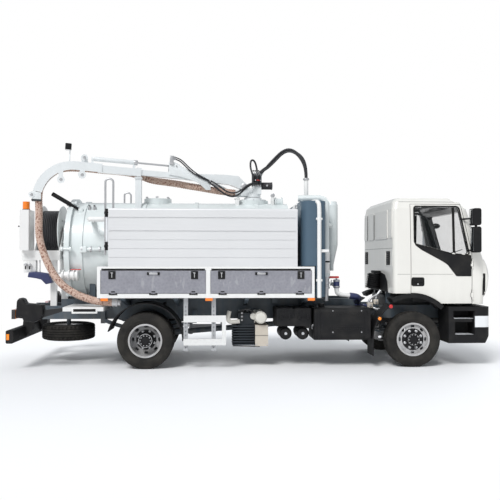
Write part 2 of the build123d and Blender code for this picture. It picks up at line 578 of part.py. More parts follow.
# Toolboxes: one long box each side with a divider, and a lid over each compartment
FLAPS = [(TOOLBOX_REAR + TOOLBOX_FRAME, REAR_AXLE + 935), (REAR_AXLE + 1000, TOOLBOX_REAR + TOOLBOX_LENGTH - 40)]
FLAP_LOW = TOOLBOX_BOTTOM + 65
FLAP_TOP = TOOLBOX_BOTTOM + TOOLBOX_HEIGHT - 55
FLAP_GAP = 6
FLAP_AXIS_Y = BODY_HALF + 4
FLAP_AXIS_Z = FLAP_LOW - 3
FLAP_HINGES = [0.12, 0.5, 0.88]
HINGE_LENGTH = 60
with BuildPart() as toolbox_right:
    block((TOOLBOX_REAR, TOOLBOX_REAR + TOOLBOX_LENGTH), (-BODY_HALF, -BODY_HALF + TOOLBOX_DEPTH),
          (TOOLBOX_BOTTOM, TOOLBOX_BOTTOM + TOOLBOX_HEIGHT))
    for rear, front in FLAPS:
        block((rear, front), (-BODY_HALF, -BODY_HALF + FLAP_THICK + 3), (FLAP_LOW, FLAP_TOP), Mode.SUBTRACT)
        block((rear + 15, front - 15), (-BODY_HALF, -BODY_HALF + TOOLBOX_DEPTH - TOOLBOX_WALL),
              (TOOLBOX_BOTTOM + TOOLBOX_WALL, TOOLBOX_BOTTOM + TOOLBOX_HEIGHT - TOOLBOX_WALL), Mode.SUBTRACT)
        block((rear + 15, front - 15), (-BODY_HALF, -BODY_HALF + FLAP_THICK + 3),
              (TOOLBOX_BOTTOM + TOOLBOX_WALL, FLAP_LOW))
        for place in FLAP_HINGES:
            x = rear + place * (front - rear)
            block((x - HINGE_LENGTH - 5, x + HINGE_LENGTH + 5), (-BODY_HALF, -BODY_HALF + 16),
                  (FLAP_AXIS_Z - 16, FLAP_LOW), Mode.SUBTRACT)
            for end in (-1, 1):
                rod((x + end * 32, -FLAP_AXIS_Y, FLAP_AXIS_Z), (x + end * HINGE_LENGTH, -FLAP_AXIS_Y, FLAP_AXIS_Z),
                    FLAP_HINGE_RADIUS)
                block((x + end * 32, x + end * HINGE_LENGTH), (-FLAP_AXIS_Y, -BODY_HALF + 18),
                      (FLAP_AXIS_Z - 10, FLAP_AXIS_Z - 1))
            rod((x - 40, -FLAP_AXIS_Y, FLAP_AXIS_Z), (x + 40, -FLAP_AXIS_Y, FLAP_AXIS_Z), 5)
with BuildPart() as toolboxes:
    add(toolbox_right.part)
    mirror(toolbox_right.part, about=Plane.XZ)
save(toolboxes, "toolboxes")

for place, (rear, front) in zip(("rear", "front"), FLAPS):
    with BuildPart() as flap_right:
        block((rear + FLAP_GAP, front - FLAP_GAP), (-BODY_HALF, -BODY_HALF + FLAP_THICK),
              (FLAP_LOW + FLAP_GAP, FLAP_TOP - FLAP_GAP))
        for hinge in FLAP_HINGES:
            x = rear + hinge * (front - rear)
            block((x - HINGE_LENGTH - 5, x + HINGE_LENGTH + 5), (-BODY_HALF, -BODY_HALF + FLAP_THICK),
                  (FLAP_LOW, FLAP_AXIS_Z + 17), Mode.SUBTRACT)
            rod((x - 31, -FLAP_AXIS_Y, FLAP_AXIS_Z), (x + 31, -FLAP_AXIS_Y, FLAP_AXIS_Z), FLAP_HINGE_RADIUS)
            block((x - 31, x + 31), (-FLAP_AXIS_Y - 8, -BODY_HALF + 6), (FLAP_AXIS_Z + 3, FLAP_AXIS_Z + 24))
            rod((x - 45, -FLAP_AXIS_Y, FLAP_AXIS_Z), (x + 45, -FLAP_AXIS_Y, FLAP_AXIS_Z), 5 + FIT, Mode.SUBTRACT)
        middle = (rear + front) / 2
        block((middle - 75, middle + 75), (-BODY_HALF - 14, -BODY_HALF), (FLAP_TOP - 66, FLAP_TOP - 36))
        for lock in (-0.39, 0.39):
            x = middle + lock * (front - rear)
            block((x - 28, x + 28), (-BODY_HALF - 8, -BODY_HALF), (FLAP_TOP - 80, FLAP_TOP - 24))
    save(flap_right, f"flap_{place}_right")
    save(mirrored(flap_right), f"flap_{place}_left")

# Cab: an exact loft through plan sections, hollowed by a smaller one
CAB_SECTIONS = [
    # height, rear, front, half width, front bulge, front corner, rear corner
    (CAB_BOTTOM, -300, 1196, CAB_HALF - 8, 28, 110, 70),
    (1420, -300, 1222, CAB_HALF, 28, 115, 70),
    (1690, -300, 1206, CAB_HALF, 36, 125, 70),
    (2500, -300, 968, CAB_HALF - 45, 70, 110, 80),
    (2610, -285, 880, CAB_HALF - 75, 70, 115, 90),
    (2672, -225, 770, CAB_HALF - 150, 65, 120, 100),
]


def cab_volume(inset, low):
    """Cab body drawn in by an inset, cut off level below a height."""
    with BuildPart() as volume:
        for height, rear, front, half, bulge, front_corner, rear_corner in CAB_SECTIONS:
            drop = inset if height > 2400 else 0
            back = FRONT_AXLE + rear + inset
            nose = FRONT_AXLE + front - inset
            with BuildSketch(Plane.XY.offset(height - drop)) as section:
                with BuildLine():
                    Polyline((nose - bulge, inset - half), (back, inset - half), (back, half - inset),
                             (nose - bulge, half - inset))
                    ThreePointArc((nose - bulge, inset - half), (nose, 0), (nose - bulge, half - inset))
                make_face()
                fillet(section.vertices().group_by(Axis.X)[-1], front_corner - inset)
                fillet(section.vertices().group_by(Axis.X)[0], max(rear_corner - inset, 12))
        loft(ruled=True)
        block((FRONT_AXLE - 600, FRONT_AXLE + 1600), (-1400, 1400), (500, low), Mode.SUBTRACT)
    return volume.part


ARCH_TOP = AXLE_Z + ARCH_RADIUS
DOOR_OUTLINE = [(DOOR_REAR, 900), (DOOR_REAR, DOOR_TOP), (FRONT_AXLE + 795, DOOR_TOP), (DOOR_FRONT, 1800),
                (DOOR_FRONT, 900)]
DOOR_INNER = [(DOOR_REAR + GAP, 800), (DOOR_REAR + GAP, DOOR_TOP - GAP), (FRONT_AXLE + 789, DOOR_TOP - GAP),
              (DOOR_FRONT - GAP, 1799), (DOOR_FRONT - GAP, 800)]
WINDOW = [(FRONT_AXLE + 50, 2525), (FRONT_AXLE + 752, 2525), (FRONT_AXLE + 905, 1778), (FRONT_AXLE + 655, 1790),
          (FRONT_AXLE + 50, 1950)]
WINDSCREEN = [(-880, 1735), (880, 1735), (835, 2470), (-835, 2470)]
DOOR_HINGES = [1130, 1620]
EYE_RADIUS = 13
EYE_HALF = 35
PIN_RADIUS = 7


def window_cutter(points, y, shrink=0):
    """Side window prism, drawn in by a shrink."""
    with BuildPart() as cutter:
        with BuildSketch(Plane.XZ.offset(-y[0])) as outline:
            with BuildLine():
                Polyline(*points, close=True)
            make_face()
            fillet(outline.vertices(), 35)
            if shrink:
                offset(amount=-shrink, mode=Mode.REPLACE)
        extrude(amount=y[0] - y[1])
    return cutter.part


def screen_cutter(shrink=0):
    with BuildPart() as cutter:
        with BuildSketch(Plane.YZ.offset(FRONT_AXLE + 700)) as outline:
            with BuildLine():
                Polyline(*WINDSCREEN, close=True)
            make_face()
            fillet(outline.vertices(), 60)
            if shrink:
                offset(amount=-shrink, mode=Mode.REPLACE)
        extrude(amount=800)
    return cutter.part


cab_outer = cab_volume(0, CAB_BOTTOM)
with BuildPart() as cab_shell:
    add(cab_outer)
    add(cab_volume(CAB_WALL, CAB_FLOOR), mode=Mode.SUBTRACT)
    rod((FRONT_AXLE, -1300, AXLE_Z), (FRONT_AXLE, 1300, AXLE_Z), ARCH_RADIUS, Mode.SUBTRACT)
    block((FRONT_AXLE - 600, FRONT_AXLE), (-1300, 1300), (700, ARCH_TOP), Mode.SUBTRACT)
    block((FRONT_AXLE - 600, FRONT_AXLE + 1060), (-700, 700), (700, 1180), Mode.SUBTRACT)
    for side in (-1, 1):
        side_plate(DOOR_OUTLINE, (side * 880, side * 1300), Mode.SUBTRACT)
        side_plate([(HINGE_X - 30, HINGE_Z), (HINGE_X + 12, HINGE_Z - 20), (HINGE_X + 22, HINGE_Z + 10),
                    (HINGE_X - 12, CAB_BOTTOM + 60), (HINGE_X - 60, CAB_BOTTOM + 130)],
                   (side * HINGE_Y - 24, side * HINGE_Y + 24))
        rod((HINGE_X, side * HINGE_Y - 24, HINGE_Z), (HINGE_X, side * HINGE_Y + 24, HINGE_Z), 30)
        rod((HINGE_X, side * HINGE_Y - 60, HINGE_Z), (HINGE_X, side * HINGE_Y + 60, HINGE_Z), 14 + FIT, Mode.SUBTRACT)
        for z in DOOR_HINGES:
            spot = (DOOR_HINGE_X, side * DOOR_HINGE_Y)
            rod((*spot, z - EYE_HALF - 6), (*spot, z + EYE_HALF + 6), EYE_RADIUS + 7, Mode.SUBTRACT)
            for low, high in ((-75, -EYE_HALF - 1), (EYE_HALF + 1, 75)):
                rod((*spot, z + low), (*spot, z + high), EYE_RADIUS)
            rod((*spot, z - 60), (*spot, z + 60), PIN_RADIUS)
    add(screen_cutter(), mode=Mode.SUBTRACT)
save(cab_shell, "cab_shell")

with BuildPart() as windscreen:
    add(cab_volume(14, 1000))
    add(cab_volume(21, 900), mode=Mode.SUBTRACT)
    add(screen_cutter(0.3), mode=Mode.INTERSECT)
save(windscreen, "windscreen")

with BuildPart() as door_right:
    add(cab_outer)
    add(cab_volume(DOOR_WALL, 700), mode=Mode.SUBTRACT)
    side_plate(DOOR_INNER, (-880 - GAP, -1300), Mode.INTERSECT)
    block((FRONT_AXLE - 300, FRONT_AXLE + 1300), (-1300, -700), (700, CAB_BOTTOM + GAP), Mode.SUBTRACT)
    rod((FRONT_AXLE, -1300, AXLE_Z), (FRONT_AXLE, -700, AXLE_Z), ARCH_RADIUS + GAP, Mode.SUBTRACT)
    add(window_cutter(WINDOW, (-800, -1200)), mode=Mode.SUBTRACT)
    spot = (DOOR_HINGE_X, -DOOR_HINGE_Y)
    for z in DOOR_HINGES:
        rod((*spot, z - EYE_HALF), (*spot, z + EYE_HALF), EYE_RADIUS)
        block((DOOR_HINGE_X - 30, DOOR_HINGE_X), (-DOOR_HINGE_Y - 8, -DOOR_HINGE_Y + 10), (z - EYE_HALF, z + EYE_HALF))
        for low, high in ((-82, -EYE_HALF), (EYE_HALF, 82)):
            rod((*spot, z + low), (*spot, z + high), EYE_RADIUS + 7, Mode.SUBTRACT)
        rod((*spot, z - 90), (*spot, z + 90), PIN_RADIUS + FIT, Mode.SUBTRACT)
save(door_right, "door_right")
save(mirrored(door_right), "door_left")

with BuildPart() as door_glass_right:
    add(cab_volume(24, 1000))
    add(cab_volume(29, 900), mode=Mode.SUBTRACT)
    add(window_cutter(WINDOW, (-800, -1200), 1), mode=Mode.INTERSECT)
save(door_glass_right, "door_glass_right")
save(mirrored(door_glass_right), "door_glass_left")

# Mirrors on the doors
with BuildPart() as mirror_right:
    MIRRORS = [(FRONT_AXLE + 885, FRONT_AXLE + 1020, 2225, 2490), (FRONT_AXLE + 905, FRONT_AXLE + 1020, 1800, 2205)]
    for rear, front, low, high in MIRRORS:
        block((rear, front), (-1290, -1130), (low, high))
    fillet(mirror_right.edges().filter_by(Axis.Y), 35)
    block((FRONT_AXLE + 945, FRONT_AXLE + 975), (-1230, -1200), (2150, 2300))
    rod((FRONT_AXLE + 790, -1008, 2330), (FRONT_AXLE + 950, -1150, 2340), 13)
    rod((FRONT_AXLE + 900, -1040, 1830), (FRONT_AXLE + 955, -1150, 1850), 13)
    add(door_right.part, mode=Mode.SUBTRACT)
save(mirror_right, "mirror_right")
save(mirrored(mirror_right), "mirror_left")

# Black arch trims under the cab sides
ARCH_THICK = 70
with BuildPart() as arch_right:
    with BuildSketch(Plane.XZ.offset(780)):
        with BuildLine():
            outer = CenterArc((FRONT_AXLE, AXLE_Z), ARCH_RADIUS - 1, 46, 72)
            inner = CenterArc((FRONT_AXLE, AXLE_Z), ARCH_RADIUS - ARCH_THICK, 46, 72)
            Line(outer @ 0, inner @ 0)
            Line(outer @ 1, inner @ 1)
        make_face()
    extrude(amount=CAB_HALF + 22 - 780)
with BuildPart() as wheel_arches:
    add(arch_right.part)
    mirror(arch_right.part, about=Plane.XZ)
save(wheel_arches, "wheel_arches")

# Grille panel on the cab front
with BuildPart() as front_grille:
    add(cab_volume(-14, 900))
    add(cab_volume(-0.5, 800), mode=Mode.SUBTRACT)
    block((FRONT_AXLE + 1000, FRONT_AXLE + 1400), (-740, 740), (1075, 1520), Mode.INTERSECT)
    for step in range(6):
        block((FRONT_AXLE + 1000, FRONT_AXLE + 1400), (-690, 690), (1105 + step * 66, 1145 + step * 66), Mode.SUBTRACT)
save(front_grille, "front_grille")

# Dashboard with steering wheel, and seats
with BuildPart() as dashboard:
    side_plate([(FRONT_AXLE + 820, CAB_FLOOR), (FRONT_AXLE + 980, CAB_FLOOR), (FRONT_AXLE + 1010, 1640),
                (FRONT_AXLE + 860, 1660), (FRONT_AXLE + 760, 1560)], (-860, 860))
    rod((FRONT_AXLE + 850, 480, 1400), (FRONT_AXLE + 610, 480, 1610), 28)
    with BuildSketch(Plane(origin=(FRONT_AXLE + 600, 480, 1620), z_dir=(-240, 0, 210))):
        Circle(235)
        Circle(205, mode=Mode.SUBTRACT)
        Rectangle(440, 46)
    extrude(amount=22, both=True)
save(dashboard, "dashboard")

SEATS = [-560, 560]
with BuildPart() as seats:
    for y in SEATS:
        side_plate([(FRONT_AXLE - 60, CAB_FLOOR), (FRONT_AXLE + 380, CAB_FLOOR), (FRONT_AXLE + 420, 1560),
                    (FRONT_AXLE - 80, 1530)], (y - 245, y + 245), rounding=30)
        side_plate([(FRONT_AXLE - 90, 1500), (FRONT_AXLE + 60, 1500), (FRONT_AXLE - 60, 2230), (FRONT_AXLE - 170, 2230)],
                   (y - 240, y + 240), rounding=40)
save(seats, "seats")

# Bumper with step wells, and every lamp
BUMPER_LOW = 372
BUMPER_TOP = 942
BUMPER_HALF = 1095
BUMPER_BULGE = 34
BUMPER_CORNER = 120
BUMPER_REAR = FRONT_AXLE + 565
STEP_WELLS = [(FRONT_AXLE + 640, FRONT_AXLE + 985, 755, 880), (FRONT_AXLE + 665, FRONT_AXLE + 985, 505, 705)]
LAMP_Y = (790, 1130)
TOW_SOCKET_Y = 520
TOW_SOCKET_Z = 700
TOW_SOCKET_RADIUS = 21
LAMP_Z = (620, 800)
with BuildPart() as bumper_volume:
    with BuildSketch(Plane.XY.offset(BUMPER_LOW)) as plan:
        with BuildLine():
            Polyline((FRONT_END - BUMPER_BULGE, -BUMPER_HALF), (BUMPER_REAR, -BUMPER_HALF), (BUMPER_REAR, BUMPER_HALF),
                     (FRONT_END - BUMPER_BULGE, BUMPER_HALF))
            ThreePointArc((FRONT_END - BUMPER_BULGE, -BUMPER_HALF), (FRONT_END, 0),
                          (FRONT_END - BUMPER_BULGE, BUMPER_HALF))
        make_face()
        fillet(plan.vertices().group_by(Axis.X)[-1], BUMPER_CORNER)
    extrude(amount=BUMPER_TOP - BUMPER_LOW)
    side_plate([(FRONT_END - 130, BUMPER_LOW - 10), (FRONT_END + 20, BUMPER_LOW - 10), (FRONT_END + 20, 540),
                (FRONT_END - 20, 520)], (-1200, 1200), Mode.SUBTRACT)
with BuildPart() as front_bumper:
    add(bumper_volume.part)
    block((BUMPER_REAR - 10, FRONT_END - 58), (-600, 600), (300, 1000), Mode.SUBTRACT)
    for side in (-1, 1):
        for rear, front, low, high in STEP_WELLS:
            block((rear, front), (side * 850, side * 1200), (low, high), Mode.SUBTRACT)
        block((FRONT_END - 330, FRONT_END), (side * LAMP_Y[0], side * LAMP_Y[1]), LAMP_Z, Mode.SUBTRACT)
        block((FRONT_END - 400, FRONT_END - 285), (side * 700, side * 848), (BUMPER_LOW + 60, BUMPER_TOP - 20))
        block((FRONT_END - 300, FRONT_END - 285), (side * 700, side * 1080), (BUMPER_LOW + 60, BUMPER_TOP - 20))
        block((FRAME_FRONT - 120, FRONT_END - 40), (side * RAIL_OUTER, side * (RAIL_OUTER + 40)), (730, 850))
        block((FRAME_FRONT - 120, FRAME_FRONT - 60), (side * RAIL_OUTER, side * 640), (730, 850))
    rod((FRONT_END - 100, -TOW_SOCKET_Y, TOW_SOCKET_Z), (FRONT_END + 50, -TOW_SOCKET_Y, TOW_SOCKET_Z),
        TOW_SOCKET_RADIUS, Mode.SUBTRACT)
save(front_bumper, "front_bumper")

MARKERS = [REAR_AXLE - 600, REAR_AXLE + 980, REAR_AXLE + 2550]
BEACON = (REAR_AXLE - 1985, -450)
CONSOLE_TOP = 2480
with BuildPart() as lamps:
    add(bumper_volume.part)
    with BuildPart(mode=Mode.INTERSECT):
        for side in (-1, 1):
            block((FRONT_END - 284.7, FRONT_END), (side * (LAMP_Y[0] + 2), side * LAMP_Y[1]), (LAMP_Z[0] + 2, LAMP_Z[1] - 2))
    for side in (-1, 1):
        block((REAR_AXLE - 1995, REAR_AXLE - 1940.3), (side * (BODY_HALF - 420), side * (BODY_HALF - 70)), (785, 925))
        for x in MARKERS:
            block((x - 55, x + 55), (side * (BODY_HALF - 40), side * BODY_HALF), (1056, TOOLBOX_BOTTOM))
    rod((*BEACON, CONSOLE_TOP), (*BEACON, CONSOLE_TOP + 140), 55)
save(lamps, "lamps")

# Cyclone and vacuum pipe in front of the cross tank
CYCLONE = (REAR_AXLE + 3025, -300)
PIPE_RADIUS = 52
PIPE_X = REAR_AXLE + 2866
PIPE_Y = -720
PIPE_TOP = CROSS_TANK["top"] + 80
with BuildPart() as vacuum_unit:
    with BuildSketch(Plane(origin=(*CYCLONE, 0), x_dir=(1, 0, 0), z_dir=(0, -1, 0))):
        with BuildLine():
            Polyline((0, 1500), (38, 1500), (38, 1600), (108, 1930), (108, 2600), (90, 2660), (0, 2660), close=True)
        make_face()
    revolve(axis=Axis((*CYCLONE, 0), (0, 0, 1)))
    block((CROSS_TANK["front"], CYCLONE[0] - 80), (-340, -260), (2050, 2450))
    tube([(PIPE_X, PIPE_Y, 1450), (PIPE_X, PIPE_Y, PIPE_TOP), (REAR_AXLE + 2420, -640, PIPE_TOP)], PIPE_RADIUS,
         elbow=2 * PIPE_RADIUS)
    rod((PIPE_X, PIPE_Y, 1410), (PIPE_X, PIPE_Y, 1470), 64)
    block((CROSS_TANK["front"], PIPE_X), (PIPE_Y - 40, PIPE_Y + 40), (1700, 1760))
    block((REAR_AXLE + 2470, REAR_AXLE + 2560), (-690, -610), (CROSS_TANK["top"], PIPE_TOP - 20))
    rod((PIPE_X, PIPE_Y, 2250), (CYCLONE[0], CYCLONE[1], 2250), 45)
save(vacuum_unit, "vacuum_unit")

# Grab rails and the hose mast
RAIL_RADIUS = 16
RAIL_Y = PANEL_Y - 125
MAST = (REAR_AXLE + 2600, -300)
MAST_TOP = 3050
with BuildPart() as rail_right:
    tube([(PANEL_REAR - 62, -RAIL_Y, 1760), (PANEL_REAR - 62, -RAIL_Y, 2925), (PANEL_REAR + 58, -RAIL_Y, 2925),
          (PANEL_REAR + 58, -RAIL_Y, PANEL_TOP)], RAIL_RADIUS)
    for z in (1840, 2320):
        rod((PANEL_REAR - 62, -RAIL_Y, z), (PANEL_REAR, -RAIL_Y, z), 12)
with BuildPart() as grab_rails:
    add(rail_right.part)
    mirror(rail_right.part, about=Plane.XZ)
    rod((*MAST, CROSS_TANK["top"]), (*MAST, MAST_TOP), 24)
    rod((*MAST, CROSS_TANK["top"]), (*MAST, CROSS_TANK["top"] + 14), 70)
save(grab_rails, "grab_rails")

# Boom rest and slewing pedestal on the tank
BOOM_HEADING = Vector(-cos(radians(BOOM_YAW)), -sin(radians(BOOM_YAW)), 0)
BOOM_SIDE = Vector(-sin(radians(BOOM_YAW)), cos(radians(BOOM_YAW)), 0)
PIVOT = Vector(SLEW_X, 0, PIVOT_Z) + BOOM_HEADING * PIVOT_BACK
BOOM_ALONG = BOOM_HEADING * cos(radians(BOOM_PITCH)) + Vector(0, 0, sin(radians(BOOM_PITCH)))
BOOM_UP = BOOM_SIDE.cross(BOOM_ALONG)


def boom_plane(across=0):
    """Plane of the boom: first axis along it, second axis up, moved across it."""
    return Plane(origin=PIVOT + BOOM_SIDE * across, x_dir=BOOM_ALONG, z_dir=BOOM_SIDE)


def boom_point(along, up, across=0):
    return tuple(PIVOT + BOOM_ALONG * along + BOOM_UP * up + BOOM_SIDE * across)


def boom_plate(points, across, mode=Mode.ADD):
    """Plate outlined in the boom's plane between two places across it."""
    with BuildSketch(boom_plane(across[0])) as outline:
        with BuildLine():
            Polyline(*points, close=True)
        make_face()
    extrude(outline.sketch, amount=across[1] - across[0], mode=mode)


def boom_pin(along, up, across, radius, mode=Mode.ADD):
    rod(boom_point(along, up, across[0]), boom_point(along, up, across[1]), radius, mode)


def bar(along, up, half):
    """Corners of a straight bar seen from the side."""
    return [(along[0], up - half), (along[1], up - half), (along[1], up + half), (along[0], up + half)]


COLLAR_HALF = 72
REST_ALONG = OUTER_START + 35
SPIGOT_RADIUS = 60
with BuildPart() as boom_supports:
    rest = boom_point(REST_ALONG, 0)
    rest_top = boom_point(REST_ALONG, BOOM_RISE - COLLAR_HALF)[2] - 9
    block((rest[0] - 50, rest[0] + 50), (rest[1] - 50, rest[1] + 50), (2480, rest_top))
    block((rest[0] - 60, rest[0] + 60), (rest[1] - 64, rest[1] + 64), (rest_top - 24, rest_top))
    rod((SLEW_X, 0, TANK_Z + TANK_RADIUS + 45), (SLEW_X, 0, SLEW_TOP - 12), 150)
    rod((SLEW_X, 0, TANK_Z + TANK_RADIUS + 45), (SLEW_X, 0, TANK_Z + TANK_RADIUS + 65), 220)
    rod((SLEW_X, 0, SLEW_TOP - 20), (SLEW_X, 0, SLEW_TOP + 40), SPIGOT_RADIUS)
    rod((TANK_REAR, 0, TANK_Z), (TANK_FRONT, 0, TANK_Z), TANK_RADIUS, Mode.SUBTRACT)
save(boom_supports, "boom_supports")

# Route of the hydraulic hose arch from the mast to the valve block
ARCH_HOSE_RADIUS = 21
ARCH_ROUTE = [(REAR_AXLE + x, y, z) for x, y, z in (
    (2600, -300, MAST_TOP + 0.4), (2600, -300, 3190), (2545, -288, 3360), (2445, -264, 3500), (2320, -235, 3560),
    (2200, -200, 3520), (2080, -150, 3405), (1960, -95, 3280), (1870, -60, 3165))]

# Slewing column: fork for the boom, suction elbow, valve block and motor
LUG_ACROSS = 128
BARREL_LUG = (60, -150)
ROD_LUG = (620, 60)
STUB_UP = -118
with BuildPart() as slew_column:
    rod((SLEW_X, 0, SLEW_TOP), (SLEW_X, 0, SLEW_TOP + 60), 130)
    for low, high in ((-84, -66), (66, 84)):
        boom_plate([(60, -165), (60, 20), (30, 45), (-30, 45), (-230, -120), (-230, -158)], (low, high))
    boom_pin(0, 0, (-92, 92), 20)
    boom_plate([(-250, -158), (40, -165), (40, -130), (-230, -130)], (-84, 84))
    rod(boom_point(-120, STUB_UP), boom_point(150, STUB_UP), SUCTION_RADIUS)
    boom_plate([(35, -165), (60, -178), (85, -165), (85, -120), (35, -120)], (66, LUG_ACROSS - 40))
    boom_pin(*BARREL_LUG, (60, LUG_ACROSS + 22), 14)
    block((SLEW_X - 10, SLEW_X + 140), (-110, 110), (SLEW_TOP + 50, SLEW_TOP + 400))
    rod((SLEW_X + 130, 0, SLEW_TOP + 200), (SLEW_X + 330, 0, SLEW_TOP + 200), 58)
    gland = Vector(*ARCH_ROUTE[-1])
    arrival = (Vector(*ARCH_ROUTE[-2]) - gland).normalized()
    rod(tuple(gland - arrival * 70), tuple(gland - arrival * 0.4), ARCH_HOSE_RADIUS + 8)
    rod((SLEW_X, 0, SLEW_TOP - 12), (SLEW_X, 0, SLEW_TOP + 45), SPIGOT_RADIUS + FIT, Mode.SUBTRACT)
save(slew_column, "slew_column")

# Inner boom: deep root and telescopic bar
INNER_END = 2380
with BuildPart() as boom_inner:
    boom_plate([(-36, -36), (-36, 40), (110, 168), (330, 172), (1000, BOOM_RISE + 50), (1000, BOOM_RISE - 50),
                (250, 10), (60, -46)], (-52, 52))
    boom_plate(bar((900, INNER_END), BOOM_RISE, INNER_SIZE / 2), (-INNER_SIZE / 2, INNER_SIZE / 2))
    boom_pin(0, 0, (-60, 60), 20 + FIT, Mode.SUBTRACT)
    boom_plate(bar((570, 690), 128, 14), (40, LUG_ACROSS + 26))
    for across in (LUG_ACROSS - 26, LUG_ACROSS + 20):
        boom_plate(bar((ROD_LUG[0] - 30, ROD_LUG[0] + 30), 78, 48), (across, across + 6))
save(boom_inner, "boom_inner")

# Outer boom: sliding tube with wear pads, collar, gooseneck cheeks, roller lugs and lamp stalk
TUBE_END = 2450
PAD_CLEARANCE = 0.3
NECK_CENTRE = (NECK_START, BOOM_RISE - NECK_RADIUS)
NECK_BACK = NECK_RADIUS + 82
NECK_FRONT = NECK_RADIUS - 55
ROLLERS = [(3012, -150, 60), (2690, -45, 62), (3440, -430, 48)]
with BuildPart() as boom_outer:
    boom_plate(bar((OUTER_START, TUBE_END), BOOM_RISE, OUTER_SIZE / 2), (-OUTER_SIZE / 2, OUTER_SIZE / 2))
    boom_plate(bar((OUTER_START, OUTER_START + 75), BOOM_RISE, COLLAR_HALF), (-64, 64))
    bore = OUTER_SIZE / 2 - OUTER_WALL
    boom_plate(bar((OUTER_START - 10, INNER_END + 30), BOOM_RISE, bore), (-bore, bore), Mode.SUBTRACT)
    slack = bore - INNER_SIZE / 2
    for side in (-1, 1):
        pad = BOOM_RISE + side * (bore - (slack - PAD_CLEARANCE) / 2)
        boom_plate(bar((OUTER_START, OUTER_START + 75), pad, (slack - PAD_CLEARANCE) / 2), (-30, 30))
    for across, start, turn in (((-70, -62), 90, NECK_TURN), ((62, 70), 55, NECK_TURN - 35)):
        with BuildSketch(boom_plane(across[0])):
            with BuildLine():
                back = CenterArc(NECK_CENTRE, NECK_BACK, start, -turn)
                inside = CenterArc(NECK_CENTRE, NECK_FRONT, start, -turn)
                Line(back @ 0, inside @ 0)
                Line(back @ 1, inside @ 1)
            make_face()
        extrude(amount=across[1] - across[0])
    with BuildSketch(boom_plane(-70)):
        with BuildLine():
            back = CenterArc(NECK_CENTRE, NECK_BACK, 90, -NECK_TURN)
            inside = CenterArc(NECK_CENTRE, NECK_BACK - 9, 90, -NECK_TURN)
            Line(back @ 0, inside @ 0)
            Line(back @ 1, inside @ 1)
        make_face()
    extrude(amount=140)
    boom_plate([(2380, BOOM_RISE - 58), (NECK_START, BOOM_RISE - 55), (NECK_START, BOOM_RISE + 82),
                (2380, BOOM_RISE + 82)], (-70, -57))
    boom_plate(bar((2380, NECK_START), BOOM_RISE + 75, 7), (-70, 70))
    for along, up, radius in ROLLERS:
        boom_pin(along, up, (-78, -62), radius)
    boom_plate([(2990, -150), (3040, -150), (3080, 60), (2980, 60)], (-70, -62))
    boom_plate([(2665, -45), (2715, -45), (2740, 60), (2640, 60)], (-70, -62))
    boom_plate([(3420, -400), (3460, -440), (3390, -330), (3330, -330)], (-70, -62))
    boom_plate([(2600, 158), (2720, 158), (2700, 240), (2640, 240)], (-40, 40))
    boom_pin(2670, 235, (-50, 50), 55)
    boom_plate(bar((1850, 2560), 238, 24), (-24, 24))
    for along in (1850, 2520):
        boom_plate([(along, BOOM_RISE + 50), (along + 40, BOOM_RISE + 50), (along + 40, 250), (along, 250)], (-20, 20))
    rod(boom_point(2900, BOOM_RISE + 60), boom_point(2905, 400), 9)
    boom_plate([(2890, 380), (2960, 350), (2975, 430), (2900, 440)], (-45, 45))
save(boom_outer, "boom_outer")

# Lift cylinder: barrel on the column, rod to the boom
LIFT = Vector(ROD_LUG[0] - BARREL_LUG[0], ROD_LUG[1] - BARREL_LUG[1], 0)
LIFT_LENGTH = LIFT.length


def along_lift(distance):
    return boom_point(BARREL_LUG[0] + LIFT.X / LIFT_LENGTH * distance,
                      BARREL_LUG[1] + LIFT.Y / LIFT_LENGTH * distance, LUG_ACROSS)


with BuildPart() as lift_barrel:
    boom_pin(*BARREL_LUG, (LUG_ACROSS - 18, LUG_ACROSS + 18), 30)
    rod(along_lift(22), along_lift(410), 36)
    rod(along_lift(60), along_lift(420), 18 + FIT, Mode.SUBTRACT)
    boom_pin(*BARREL_LUG, (LUG_ACROSS - 30, LUG_ACROSS + 30), 14 + FIT, Mode.SUBTRACT)
save(lift_barrel, "lift_barrel")
with BuildPart() as lift_rod:
    rod(along_lift(90), along_lift(LIFT_LENGTH - 10), 18)
    boom_pin(*ROD_LUG, (LUG_ACROSS - 17, LUG_ACROSS + 17), 27)
save(lift_rod, "lift_rod")

# Suction hose under the inner boom, its tail over the gooseneck and down to the tray, and the coupling
TAIL_ACROSS = 140
HOSE_RUN = [boom_point(*spot) for spot in (
    (150.4, STUB_UP, 0), (380, STUB_UP, 0), (700, -86, 0), (1080, -72, 0), (1350, -62, 45), (1560, -20, 115),
    (1650, 12.5, 127.5))]
NECK_STEPS = (24, 52, 76)
TAIL_START = [boom_point(*spot) for spot in (
    (1650.4, 12.64, 127.56), (1740, 45, TAIL_ACROSS), (1930, 78, TAIL_ACROSS + 2), (2150, 84, TAIL_ACROSS + 1),
    (2380, 80, TAIL_ACROSS), (2610, 80, 85))]
TAIL_NECK = [boom_point(NECK_START + NECK_RADIUS / cos(radians(14)) * sin(radians(turn)),
                        BOOM_RISE - NECK_RADIUS + NECK_RADIUS / cos(radians(14)) * cos(radians(turn)), 0)
             for turn in NECK_STEPS]
TAIL_FALL = [(REAR_AXLE + x, y, z) for x, y, z in (
    (-1728, -645, 2400), (-1712, -745, 2080), (-1628, -815, 1815), (-1495, -900, 1545), (-1325, -970, 1315),
    (-1090, -1030, 1160), (-885, -1062, 1082), (-690, -1080, 1031), (-480, -1084, 1024))]
with BuildPart() as suction_hose:
    tube(HOSE_RUN, SUCTION_RADIUS)
save(suction_hose, "suction_hose")
with BuildPart() as suction_tail:
    tube(TAIL_START + TAIL_NECK + TAIL_FALL, SUCTION_RADIUS)
save(suction_tail, "suction_tail")
